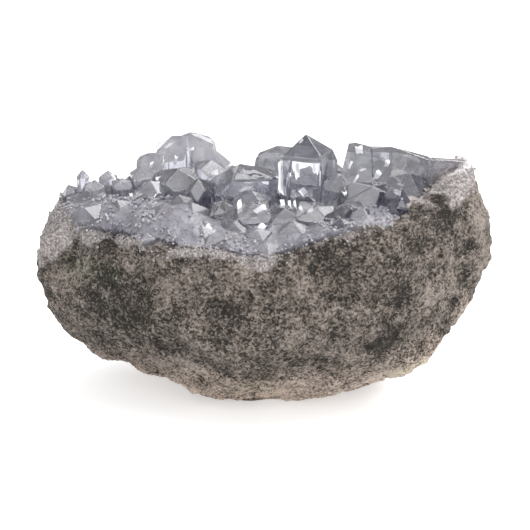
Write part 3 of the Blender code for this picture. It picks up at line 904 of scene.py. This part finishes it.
# The painted highlights, white flakes shaped as bright cracks.
GLINTS = (
    Glint(-47.0, 23.1, 1.3, 1.6), Glint(-40.2, 23.2, 0.8, 1.9, 20), Glint(-43.4, 18.4, 2.0, 1.4, 30),
    Glint(-33.5, 15.4, 2.3, 1.4, -20), Glint(-30.2, 26.2, 0.7, 2.2, -15), Glint(-25.6, 31.6, 2.0, 0.7, 40),
    Glint(-15.0, 9.8, 1.4, 1.6, 30), Glint(-18.4, 7.9, 1.7, 0.9, -15), Glint(-6.5, 15.1, 1.1, 3.4, 10),
    Glint(-1.3, 14.7, 3.0, 1.3, 35), Glint(-0.9, 9.8, 2.8, 1.5, 40), Glint(4.2, 23.0, 1.2, 6.8, 0),
    Glint(8.6, 25.2, 1.0, 3.9, 0), Glint(13.1, 25.6, 0.8, 3.0, 0), Glint(10.2, 19.3, 1.7, 1.8, 45),
    Glint(4.7, 15.9, 1.1, 2.6, 8), Glint(6.6, 15.6, 0.6, 3.1, 8), Glint(8.0, 15.4, 0.6, 3.2, 8),
    Glint(-28.2, 23.0, 1.6, 0.8, 20), Glint(-23.7, 27.8, 0.8, 2.1, -10), Glint(-19.7, 30.5, 2.1, 0.8, 15),
    Glint(-13.1, 24.6, 1.3, 1.3, 0), Glint(22.6, 26.5, 0.6, 2.4, -20), Glint(26.0, 25.2, 1.8, 0.6, 20),
    Glint(21.3, 18.5, 1.0, 2.0, 15), Glint(35.9, 21.2, 1.6, 0.6, -20), Glint(-43.6, 9.8, 1.5, 1.0, 10),
    Glint(-38.3, 13.2, 1.2, 0.8, -20), Glint(-35.2, 18.2, 0.7, 1.6, 25), Glint(9.7, 14.6, 0.7, 2.0, 25), Glint(9.7, 32.8, 0.5, 1.4, -35), Glint(24.8, 30.4, 1.9, 2.1, 10),
    Glint(29.6, 23.8, 1.5, 2.3, -25), Glint(32.3, 26.7, 1.0, 1.8, -15), Glint(35.1, 22.8, 2.1, 0.5, -35),
    Glint(24.0, 22.5, 0.5, 2.6, -30), Glint(28.6, 15.4, 1.3, 0.8, 20), Glint(12.1, 14.5, 1.3, 0.7, 20),
)


@dataclass
class FractureGlints:
    """Painted highlights: white flakes shaped as bright cracks just under the faces of the crystals, thin and uneven.
    """

    depth: float = 0.30 * MM
    thickness: float = 0.10 * MM
    uneven: float = 0.16
    seed: int = 5

    def build(self, masses: Sequence[bpy.types.Object], view: "Studio") -> bpy.types.Object:
        """Models the flakes, each a little inside the first face that the view meets.

        Args:
            masses: The crystals.
            view: The studio, which knows the view that the flakes are placed in.

        Returns:
            The flakes, joined.
        """
        rng = random.Random(self.seed)
        trees = [BVHTree.FromPolygons(*triangles_of(mass)) for mass in masses]
        flakes = []
        for number, glint in enumerate(GLINTS):
            start, ahead = view.sight(glint.x * MM, glint.rise * MM)
            hits = [tree.ray_cast(start, ahead) for tree in trees]
            near = min((hit for hit in hits if hit[0] is not None), key=lambda hit: hit[3], default=None)
            if near is not None:
                flakes.append(self.flake(f"flake_{number:02d}", glint, near[0] + ahead * self.depth, view, rng))
        return joined("fracture_glints", flakes)

    def flake(
        self, name: str, glint: Glint, place: Vector, view: "Studio", rng: random.Random,
    ) -> bpy.types.Object:
        """Models one flake from a thin block with an uneven outline.

        Args:
            name: The name of the object.
            glint: Its size and turn.
            place: Where its middle is.
            view: The studio.
            rng: The random numbers of the flakes.

        Returns:
            The flake.
        """
        bpy.ops.object.select_all(action="DESELECT")
        size = (glint.wide * MM, self.thickness, glint.high * MM)
        bpy.ops.mesh.primitive_cube_add(size=1.0, scale=size)
        flake = bpy.context.view_layer.objects.active
        flake.name = name
        settle(flake)
        with edit_mode(flake):
            bpy.ops.mesh.select_all(action="SELECT")
            bpy.ops.mesh.subdivide(number_cuts=2)
        across, up = rng.uniform(0.0, 100.0), rng.uniform(0.0, 100.0)
        for vertex in flake.data.vertices:
            spot = Vector((vertex.co.x / size[0] * 2.0 + across, vertex.co.z / size[2] * 2.0 + up, 0.0))
            shake = noise.noise_vector(spot) * self.uneven * 2.0
            vertex.co += Vector((shake.x * size[0], shake.y * self.thickness * 4.0, shake.z * size[2]))
        tip_back = Matrix.Rotation(-math.radians(view.elevation), 4, "X")
        turn = Matrix.Rotation(-math.radians(glint.turn), 4, "Y")
        flake.matrix_world = Matrix.Translation(place) @ tip_back @ turn
        settle(flake)
        return flake

    def dress(self, flakes: bpy.types.Object) -> None:
        """Gives the flakes their near-white finish, which paints the highlights."""
        sheet = Sheet("painted_glint_flake")
        # Painted highlight: near-white, streaked a little by noise.
        streaks = sheet.noise(1.1 * MM, 3.0, 0.6)
        sheet.feed(sheet.shader.inputs["Base Color"], sheet.mix(streaks, (0.80, 0.80, 0.84), (0.96, 0.96, 0.98)))
        sheet.shader.inputs["Roughness"].default_value = 0.2
        flakes.data.materials.append(sheet.material)


@dataclass(frozen=True)
class Scatter:
    """How fine crystals are strewn over a surface. The surface's growth attribute says where they grow."""

    apart: float
    sizes: tuple
    tilt: float
    seed: int

    def strewn(self, ground: bpy.types.Object, kinds: bpy.types.Collection) -> None:
        """Turns a surface into the fine crystals that grow on it, by Geometry Nodes.

        Args:
            ground: The surface, which the crystals replace.
            kinds: The collection that holds one crystal of each kind.
        """
        tree = bpy.data.node_groups.new("strewn_crystals", "GeometryNodeTree")
        tree.interface.new_socket("Ground", in_out="INPUT", socket_type="NodeSocketGeometry")
        tree.interface.new_socket("Crystals", in_out="OUTPUT", socket_type="NodeSocketGeometry")
        add, join = tree.nodes.new, tree.links.new
        enter, leave = add("NodeGroupInput"), add("NodeGroupOutput")
        growth = add("GeometryNodeInputNamedAttribute")
        growth.data_type = "FLOAT"
        growth.inputs["Name"].default_value = "growth"
        spread = add("GeometryNodeDistributePointsOnFaces")
        spread.distribute_method = "POISSON"
        spread.inputs["Distance Min"].default_value = self.apart
        spread.inputs["Density Max"].default_value = 1.6 / self.apart ** 2
        spread.inputs["Seed"].default_value = self.seed
        join(enter.outputs[0], spread.inputs["Mesh"])
        join(growth.outputs[0], spread.inputs["Density Factor"])
        turn = self.random(tree, "FLOAT_VECTOR", (-self.tilt, -self.tilt, 0.0), (self.tilt, self.tilt, math.tau), 1)
        as_turn = add("FunctionNodeEulerToRotation")
        join(turn, as_turn.inputs[0])
        turned = add("FunctionNodeRotateRotation")
        turned.rotation_space = "LOCAL"
        join(spread.outputs["Rotation"], turned.inputs[0])
        join(as_turn.outputs[0], turned.inputs[1])
        stock = add("GeometryNodeCollectionInfo")
        stock.inputs["Collection"].default_value = kinds
        stock.inputs["Separate Children"].default_value = True
        stock.inputs["Reset Children"].default_value = True
        place = add("GeometryNodeInstanceOnPoints")
        place.inputs["Pick Instance"].default_value = True
        join(spread.outputs["Points"], place.inputs["Points"])
        join(stock.outputs[0], place.inputs["Instance"])
        join(turned.outputs[0], place.inputs["Rotation"])
        join(self.random(tree, "FLOAT", *self.sizes, 2), place.inputs["Scale"])
        real = add("GeometryNodeRealizeInstances")
        join(place.outputs[0], real.inputs[0])
        join(real.outputs[0], leave.inputs[0])
        ground.modifiers.new("Fine crystals", "NODES").node_group = tree
        apply_modifiers(ground)

    def random(
        self, tree: bpy.types.NodeTree, kind: str, low: object, high: object, number: int,
    ) -> bpy.types.NodeSocket:
        """A random value for each crystal.

        Args:
            tree: The node tree.
            kind: FLOAT or FLOAT_VECTOR.
            low: The lowest value.
            high: The highest value.
            number: What sets this value's seed apart.

        Returns:
            The value's socket.
        """
        made = tree.nodes.new("FunctionNodeRandomValue")
        made.data_type = kind
        first = 0 if kind == "FLOAT_VECTOR" else 2
        made.inputs[first].default_value = low
        made.inputs[first + 1].default_value = high
        made.inputs["Seed"].default_value = self.seed + number
        return made.outputs[0 if kind == "FLOAT_VECTOR" else 1]


@dataclass
class FineDruse:
    """The fine crystals between the large ones and along the rim."""

    floor_scatter: Scatter = Scatter(0.70 * MM, (0.25, 0.95), 0.9, 21)
    rim_scatter: Scatter = Scatter(0.62 * MM, (0.2, 0.75), 0.9, 42)
    rim_from: float = 0.12
    stain_reach: tuple = (0.78, 1.0)
    stain_shore: tuple = (-9.0 * MM, 0.0)
    bare_shore: tuple = (-2.0 * MM, 2.0 * MM)
    rim_depth: tuple = (-5.0 * MM, -0.5 * MM)
    patch_size: float = 9.0 * MM
    dense_reach: tuple = (0.74, 0.96)

    def kinds(self) -> bpy.types.Collection:
        """Models one fine crystal of each kind, 1 mm wide, with its foot under the origin.

        Returns:
            The hidden collection that holds them.
        """
        stock = bpy.data.collections.new("fine_crystal_kinds")
        for number, (width, depth, height, slopes) in enumerate((
            (1.0, 0.85, 1.25, (42, 38, 46, 40)), (0.8, 0.9, 0.95, (24, 46, 40, 36)), (1.15, 0.7, 1.05, (50, 30, 38, 52)),
        )):
            shape = Crystal((0, 0, height), (0, 0), 0.0, width, depth, height + 0.5, slopes, (0.1, 0.05), 0.0)
            crystal = shape.modelled(f"fine_crystal_{number}", 0.0)
            for collection in crystal.users_collection:
                collection.objects.unlink(crystal)
            stock.objects.link(crystal)
        return stock

    def build(
        self, bed: bpy.types.Object, rock: bpy.types.Object, masses: Sequence[bpy.types.Object],
    ) -> list[bpy.types.Object]:
        """Strews the fine crystals over the bed and over the rim of the rock.

        Args:
            bed: The druse bed.
            rock: The rock.
            masses: The clear and the cloudy crystals.

        Returns:
            The fine crystals of the bed and those of the rim.
        """
        kinds = self.kinds()
        floor = self.copied(bed, "fine_druse")
        self.mark_open_floor(floor, masses)
        self.floor_scatter.strewn(floor, kinds)
        rim = self.copied(rock, "rim_druse")
        self.keep_rim(rim)
        self.rim_scatter.strewn(rim, kinds)
        for crystal in list(kinds.objects):
            bpy.data.objects.remove(crystal)
        return [floor, rim]

    def copied(self, source: bpy.types.Object, name: str) -> bpy.types.Object:
        """A copy of a piece's mesh with no materials, as an object of its own."""
        copy = bpy.data.objects.new(name, source.data.copy())
        copy.data.name = name
        copy.data.materials.clear()
        bpy.context.scene.collection.objects.link(copy)
        return copy

    def mark_open_floor(self, floor: bpy.types.Object, masses: Sequence[bpy.types.Object]) -> None:
        """Lets fine crystals grow only on top of the bed, where no large crystal stands."""
        trees = [BVHTree.FromPolygons(*triangles_of(mass)) for mass in masses]
        up = Vector((0.0, 0.0, 1.0))
        values = []
        for vertex in floor.data.vertices:
            covered = False
            for tree in trees:
                _, facing, _, _ = tree.ray_cast(vertex.co, up)
                covered = covered or (facing is not None and facing.z > 0.0)
            sown = self.sown(vertex.co)
            values.append(0.0 if covered or vertex.normal.z < 0.1 else sown)
        paint(floor, "growth", values)
        stains = []
        for vertex in floor.data.vertices:
            x, y, _ = vertex.co
            at_rim = smooth_share(*self.stain_reach, plan_reach(x, y))
            stains.append(0.8 * max(at_rim, smooth_share(*self.stain_shore, past_shore(x, y))))
        paint(floor, "stain", stains)

    def sown(self, place: Vector) -> float:
        """How densely fine crystals grow at a place of the bed: in patches, and more towards the rim."""
        patchy = smooth_share(-0.15, 0.45, noise.fractal(place / self.patch_size, 1.0, 2.0, 3))
        return max(0.8 * patchy, smooth_share(*self.dense_reach, plan_reach(place.x, place.y)))

    def keep_rim(self, rim: bpy.types.Object) -> None:
        """Keeps only the skin near the rim, and lets crystals grow where its rind shows most."""
        rind = [item.value for item in rim.data.attributes["rind"].data]
        with edit_mode(rim):
            bpy.ops.mesh.select_mode(type="FACE")
            bpy.ops.mesh.select_all(action="DESELECT")
        for face in rim.data.polygons:
            face.select = min(rind[index] for index in face.vertices) < self.rim_from
        with edit_mode(rim):
            bpy.ops.mesh.delete(type="FACE")
        rind = [item.value for item in rim.data.attributes["rind"].data]
        bare = [smooth_share(*self.bare_shore, past_shore(vertex.co.x, vertex.co.y)) for vertex in rim.data.vertices]
        close = [self.closeness(vertex.co) for vertex in rim.data.vertices]
        growth = [value * near * (1.0 - 0.85 * share) for value, near, share in zip(rind, close, bare)]
        paint(rim, "growth", growth)
        paint(rim, "stain", [1.0 - 0.5 * value for value in rind])

    def closeness(self, place: Vector) -> float:
        """How close a place on the rock is to the rim above it, 1 at the rim and 0 well below it."""
        bearing = math.degrees(math.atan2(place.y / HALF_DEPTH, place.x / HALF_WIDTH))
        return smooth_share(*self.rim_depth, place.z - at_angle(RIM_HEIGHTS, bearing) * MM)

    def dress(self, pieces: Sequence[bpy.types.Object]) -> None:
        """Gives the fine crystals their finish."""
        finish = CrystalFinish(
            "fine_celestite", 0.55, (0.18, 0.50), (0.36, 0.36, 0.41), (0.50, 0.48, 0.51), blue_density=0.0,
            stain=(0.34, 0.30, 0.28),
        ).made()
        for piece in pieces:
            piece.data.materials.clear()
            piece.data.materials.append(finish)


@dataclass
class DruseBed:
    """The pale bed of fine druse over the broken face, which the clear crystals stand in."""

    cells: tuple = (232, 168)
    margin: float = 1.12
    levels: tuple = ((0.30, -2.0), (0.52, 0.3), (0.78, 0.8), (0.97, -1.2))
    shore_slope: tuple = (-6.0 * MM, 2.0 * MM)
    shore_drop: float = 4.0 * MM
    edge_reach: tuple = (0.84, 0.97)
    edge_shore: tuple = (-5.0 * MM, -0.5 * MM)
    thickness: float = 2.2 * MM
    lump: float = 0.9 * MM
    lump_size: float = 4.2 * MM

    def build(self) -> bpy.types.Object:
        """Models the bed as a rough sheet that follows the druse's surface.

        Returns:
            The bed.
        """
        bpy.ops.object.select_all(action="DESELECT")
        bpy.ops.mesh.primitive_grid_add(x_subdivisions=self.cells[0], y_subdivisions=self.cells[1], size=2.0)
        bed = bpy.context.view_layer.objects.active
        bed.name = "druse_bed"
        bed.data.name = "druse_bed"
        bed.scale = (HALF_WIDTH * self.margin, HALF_DEPTH * self.margin, 1.0)
        settle(bed)
        self.cut_to_rim(bed)
        for vertex in bed.data.vertices:
            x, y, _ = vertex.co
            at_shore = smooth_share(*self.shore_slope, past_shore(x, y)) * self.shore_drop
            vertex.co.z = druse_height(x, y) + along(self.levels, plan_reach(x, y)) * MM - at_shore
        wall = bed.modifiers.new("Thickness", "SOLIDIFY")
        wall.thickness = self.thickness
        wall.offset = -1.0
        apply_modifiers(bed)
        add_relief(bed, ReliefTexture("druse_lumps", "VORONOI", self.lump_size, -self.lump), None)
        apply_modifiers(bed)
        edge = []
        for vertex in bed.data.vertices:
            x, y, _ = vertex.co
            at_rim = smooth_share(*self.edge_reach, plan_reach(x, y))
            edge.append(max(at_rim, smooth_share(*self.edge_shore, past_shore(x, y))))
        paint(bed, "edge", edge)
        return bed

    def cut_to_rim(self, bed: bpy.types.Object) -> None:
        """Removes the faces of the sheet that lie outside the druse or past its shore."""
        tree = BVHTree.FromPolygons(*triangles_of(frame["nodes"][CRYSTAL_NODE]))
        with edit_mode(bed):
            bpy.ops.mesh.select_mode(type="FACE")
            bpy.ops.mesh.select_all(action="DESELECT")
        for face in bed.data.polygons:
            x, y, _ = face.center
            off_druse = tree.ray_cast(Vector((x, y, 0.2)), Vector((0.0, 0.0, -1.0)))[0] is None
            face.select = off_druse or past_shore(x, y) > self.shore_slope[1]
        with edit_mode(bed):
            bpy.ops.mesh.delete(type="FACE")

    def dress(self, bed: bpy.types.Object) -> None:
        """Gives the bed its finish."""
        bed.data.materials.append(DruseFinish().made())


@dataclass(frozen=True)
class ReliefTexture:
    """One layer of relief: a pattern, how large it is, and how far it stands out."""

    name: str
    pattern: str
    size: float
    height: float
    detail: int = 2


def add_relief(obj: bpy.types.Object, relief: ReliefTexture, group: str | None) -> None:
    """Adds a Displace modifier with one layer of relief.

    Args:
        obj: The mesh object.
        relief: The layer.
        group: The vertex group that it is kept to, or None.
    """
    texture = bpy.data.textures.new(relief.name, relief.pattern)
    texture.noise_scale = relief.size
    if relief.pattern == "CLOUDS":
        texture.noise_depth = relief.detail
    modifier = obj.modifiers.new(relief.name, "DISPLACE")
    modifier.texture = texture
    modifier.texture_coords = "LOCAL"
    modifier.strength = relief.height
    modifier.mid_level = 0.5
    if group is not None:
        modifier.vertex_group = group


def triangles_of(obj: bpy.types.Object) -> tuple[list, list]:
    """The places of a mesh's vertices and the corners of its faces, for a search tree."""
    mesh = obj.data
    return [vertex.co.copy() for vertex in mesh.vertices], [tuple(face.vertices) for face in mesh.polygons]


@dataclass
class WeatheredRock:
    """The rock of the nodule, with a skin that is rough at every size."""

    voxel: float = 0.625 * MM
    foot: tuple = (0.25 * MM, 1.6 * MM)
    rind_depth: tuple = (4.5 * MM, 2.5 * MM)
    crest_from: tuple = (-3.0 * MM, 3.0 * MM)
    crest_height: tuple = (50.0 * MM, 58.0 * MM)
    crest_rise: float = 1.5 * MM
    # Heights over which the crest turns paler, partly as painted light.
    pale_crest: tuple = (57.0 * MM, 61.0 * MM)

    def build(self) -> bpy.types.Object:
        """Models the rock from a copy of its solid.

        Returns:
            The rock.
        """
        rock = copy_of_solid(ROCK_NODE, "weathered_rock")
        remesh = rock.modifiers.new("Even skin", "REMESH")
        remesh.mode = "VOXEL"
        remesh.voxel_size = self.voxel
        soften = rock.modifiers.new("Soften", "SMOOTH")
        soften.factor = 0.5
        soften.iterations = 6
        apply_modifiers(rock)
        skin = rock.vertex_groups.new(name="skin")
        for vertex in rock.data.vertices:
            skin.add([vertex.index], smooth_share(*self.foot, vertex.co.z), "REPLACE")
        smooth_skin = [(vertex.co.copy(), vertex.normal.copy()) for vertex in rock.data.vertices]
        for relief in (
            ReliefTexture("rock_lumps", "CLOUDS", 8.0 * MM, 1.7 * MM, 3),
            ReliefTexture("rock_knobs", "VORONOI", 4.2 * MM, -1.1 * MM),
            ReliefTexture("rock_pits", "CLOUDS", 2.4 * MM, 1.1 * MM, 2),
            ReliefTexture("rock_grains", "CLOUDS", 1.3 * MM, 0.9 * MM, 1),
        ):
            add_relief(rock, relief, "skin")
        apply_modifiers(rock)
        self.mark_relief(rock, smooth_skin)
        for vertex in rock.data.vertices:
            bare = smooth_share(*self.crest_from, past_shore(vertex.co.x, vertex.co.y))
            high = smooth_share(*self.crest_height, vertex.co.z)
            vertex.co.z = max(vertex.co.z + self.crest_rise * bare * high, 0.0)
        self.mark_rind(rock)
        only_select(rock)
        bpy.ops.object.shade_smooth()
        return rock

    def mark_relief(self, rock: bpy.types.Object, smooth_skin: Sequence[tuple[Vector, Vector]]) -> None:
        """Keeps how far each place of the skin stands out, 0 on average and 1 or -1 where it is usual.

        Args:
            rock: The rock.
            smooth_skin: The place and normal of each vertex before the relief.
        """
        heights = [(vertex.co - at).dot(facing) for vertex, (at, facing) in zip(rock.data.vertices, smooth_skin)]
        mean = sum(heights) / len(heights)
        usual = math.sqrt(sum((height - mean) ** 2 for height in heights) / len(heights))
        paint(rock, "relief", [(height - mean) / usual for height in heights])

    def mark_rind(self, rock: bpy.types.Object) -> None:
        """Keeps how much of the pale rind shows at each place of the skin; above 1 on the crest, whose paler colour is
        partly painted light on the top.
        """
        values = []
        for vertex in rock.data.vertices:
            line = along(RIND_LINE, vertex.co.x / MM) * MM
            line_noise = noise.fractal(vertex.co / RIND_RAGGED_SIZE, 1.0, 2.0, 3) * RIND_RAGGED
            line += line_noise
            below_rim = smooth_share(-self.rind_depth[0], self.rind_depth[1], vertex.co.z - line)
            # Partly painted light: the top of the crest is marked above 1 for its paler colour.
            on_crest = 1.5 * smooth_share(*self.pale_crest, vertex.co.z + line_noise)
            values.append(max(below_rim, on_crest))
        paint(rock, "rind", values)

    def dress(self, rock: bpy.types.Object) -> None:
        """Gives the rock its finish."""
        rock.data.materials.append(RockFinish().made())


@dataclass(frozen=True)
class StudioLight:
    """One soft square light."""

    name: str
    place: tuple
    size: float
    power: float
    colour: tuple = (1.0, 1.0, 1.0)

    def hang(self, aim: Vector) -> None:
        """Puts the light in its place, aimed at a point.

        Args:
            aim: The point that it shines at.
        """
        place = Vector(self.place)
        turn = (aim - place).to_track_quat("-Z", "Y").to_euler()
        bpy.ops.object.select_all(action="DESELECT")
        bpy.ops.object.light_add(type="AREA", location=place, rotation=turn)
        light = bpy.context.view_layer.objects.active
        light.name = self.name
        light.data.size = self.size
        light.data.energy = self.power
        light.data.color = self.colour


@dataclass
class Studio:
    """The plain pale floor, the soft light and the camera."""

    aim: Vector = field(default_factory=lambda: Vector((0.0, 0.0, 33.6 * MM)))
    distance: float = 0.42
    elevation: float = 13.0
    lens: float = 107.7
    floor_size: float = 6.0
    floor_glow: float = 0.45
    surround: float = 1.0
    low_shade: float = 0.55
    panels: tuple = (0.46, 0.62, 0.35, 3.2)

    def sight(self, across: float, rise: float) -> tuple[Vector, Vector]:
        """Where the view starts from for a spot in the front view, and the way it looks.

        Args:
            across: How far the spot is to the right of the middle of the view.
            rise: How far it is above the middle.

        Returns:
            The start, well in front of the object, and the direction.
        """
        tilt = math.radians(self.elevation)
        ahead = Vector((0.0, math.cos(tilt), -math.sin(tilt)))
        up = Vector((0.0, math.sin(tilt), math.cos(tilt)))
        eye = self.aim - ahead * self.distance
        spot = self.aim + Vector((across, 0.0, 0.0)) + up * rise
        way = (spot - eye).normalized()
        return eye, way

    def build(self) -> None:
        """Sets up the floor, the lights, the surround and the camera."""
        self.lay_floor()
        for light in (
            StudioLight("key_light", (0.30, 0.10, 0.46), 0.50, 3.4),
            StudioLight("front_light", (0.10, -0.75, 0.30), 0.60, 3.0),
            StudioLight("left_glint", (-0.28, -0.50, 0.44), 0.035, 0.16),
            StudioLight("right_glint", (0.34, -0.42, 0.36), 0.035, 0.16),
            StudioLight("top_glint", (0.04, -0.20, 0.62), 0.035, 0.16),
        ):
            light.hang(self.aim)
        self.hang_sky_light()
        self.set_surround()
        self.set_camera()

    def hang_sky_light(self) -> None:
        """Hangs the broad even light that comes from above and a little from the right."""
        turn = Vector((0.45, -0.10, 1.0)).to_track_quat("Z", "Y").to_euler()
        bpy.ops.object.select_all(action="DESELECT")
        bpy.ops.object.light_add(type="SUN", location=(0.0, 0.0, 1.0), rotation=turn)
        light = bpy.context.view_layer.objects.active
        light.name = "sky_light"
        light.data.energy = 1.0
        light.data.angle = math.radians(70.0)

    def lay_floor(self) -> None:
        """Lays the floor, which isn't part of the object."""
        bpy.ops.object.select_all(action="DESELECT")
        bpy.ops.mesh.primitive_plane_add(size=self.floor_size, location=(0.0, 0.0, -0.02 * MM))
        floor = bpy.context.view_layer.objects.active
        floor.name = "studio_floor"
        sheet = Sheet("pale_floor")
        sheet.shader.inputs["Base Color"].default_value = (0.80, 0.80, 0.80, 1.0)
        sheet.shader.inputs["Roughness"].default_value = 0.9
        sheet.shader.inputs["Emission Color"].default_value = (1.0, 1.0, 1.0, 1.0)
        sheet.shader.inputs["Emission Strength"].default_value = self.floor_glow
        floor.data.materials.append(sheet.material)

    def set_surround(self) -> None:
        """Makes the surround white for the camera, even for dull faces and varied for glassy ones."""
        world = bpy.data.worlds.new("studio_surround")
        bpy.context.scene.world = world
        world.use_nodes = True
        nodes, links = world.node_tree.nodes, world.node_tree.links
        nodes.clear()
        path = nodes.new("ShaderNodeLightPath")
        seen = nodes.new("ShaderNodeBackground")
        seen.inputs["Color"].default_value = (1.0, 1.0, 1.0, 1.0)
        lit = nodes.new("ShaderNodeBackground")
        lit.inputs["Strength"].default_value = self.surround
        way = nodes.new("ShaderNodeTexCoord")
        parts = nodes.new("ShaderNodeSeparateXYZ")
        shade = nodes.new("ShaderNodeMapRange")
        shade.inputs["From Min"].default_value = -0.1
        shade.inputs["From Max"].default_value = 0.8
        shade.inputs["To Min"].default_value = self.low_shade
        links.new(way.outputs["Generated"], parts.inputs[0])
        links.new(parts.outputs["Z"], shade.inputs["Value"])
        links.new(shade.outputs["Result"], lit.inputs["Color"])
        panels = nodes.new("ShaderNodeTexNoise")
        panels.inputs["Scale"].default_value = 2.4
        panels.inputs["Detail"].default_value = 1.0
        links.new(way.outputs["Generated"], panels.inputs["Vector"])
        glow = nodes.new("ShaderNodeMapRange")
        glow.interpolation_type = "SMOOTHSTEP"
        for name, value in zip(("From Min", "From Max", "To Min", "To Max"), self.panels):
            glow.inputs[name].default_value = value
        links.new(panels.outputs[0], glow.inputs["Value"])
        seen_in_glass = nodes.new("ShaderNodeBackground")
        links.new(glow.outputs["Result"], seen_in_glass.inputs["Strength"])
        glassy = nodes.new("ShaderNodeMath")
        glassy.operation = "MAXIMUM"
        links.new(path.outputs["Is Glossy Ray"], glassy.inputs[0])
        links.new(path.outputs["Is Transmission Ray"], glassy.inputs[1])
        surround = nodes.new("ShaderNodeMixShader")
        links.new(glassy.outputs[0], surround.inputs[0])
        links.new(lit.outputs[0], surround.inputs[1])
        links.new(seen_in_glass.outputs[0], surround.inputs[2])
        mix = nodes.new("ShaderNodeMixShader")
        output = nodes.new("ShaderNodeOutputWorld")
        links.new(path.outputs["Is Camera Ray"], mix.inputs[0])
        links.new(surround.outputs[0], mix.inputs[1])
        links.new(seen.outputs[0], mix.inputs[2])
        links.new(mix.outputs[0], output.inputs["Surface"])
        bpy.context.scene.view_settings.view_transform = "Standard"

    def set_camera(self) -> None:
        """Puts the camera where the photograph was taken from."""
        rise = math.radians(self.elevation)
        place = self.aim + Vector((0.0, -math.cos(rise), math.sin(rise))) * self.distance
        turn = (self.aim - place).to_track_quat("-Z", "Y").to_euler()
        bpy.ops.object.select_all(action="DESELECT")
        bpy.ops.object.camera_add(location=place, rotation=turn)
        camera = bpy.context.view_layer.objects.active
        camera.name = "photo_camera"
        camera.data.lens = self.lens
        camera.data.sensor_width = 36.0
        camera.data.clip_start = 0.01
        camera.data.dof.use_dof = False
        bpy.context.scene.camera = camera


def mount(piece: bpy.types.Object, node: str) -> None:
    """Ties a finished piece to the CAD model and reports it.

    Args:
        piece: The piece.
        node: The CAD node that it stands for.
    """
    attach(piece, "root")
    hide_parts(node)
    mesh = piece.data
    mesh.calc_loop_triangles()
    LOG.info("%s: %d triangles, for %s", piece.name, len(mesh.loop_triangles), node)


def main() -> None:
    """Builds each part of the specimen and the studio round it."""
    logging.basicConfig(level=logging.INFO, format="%(name)s %(message)s")
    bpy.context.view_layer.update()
    rock_maker = WeatheredRock()
    rock = rock_maker.build()
    rock_maker.dress(rock)
    mount(rock, ROCK_NODE)
    bed_maker = DruseBed()
    bed = bed_maker.build()
    bed_maker.dress(bed)
    mount(bed, CRYSTAL_NODE)
    crystal_maker = GrownCrystals()
    masses = crystal_maker.build()
    crystal_maker.dress(masses)
    fine_maker = FineDruse()
    fine = fine_maker.build(bed, rock, masses)
    fine_maker.dress(fine)
    studio = Studio()
    glint_maker = FractureGlints()
    glints = glint_maker.build(masses, studio)
    glint_maker.dress(glints)
    for piece in (*masses, *fine, glints):
        mount(piece, CRYSTAL_NODE)
    studio.build()


if __name__ == "__main__":
    main()
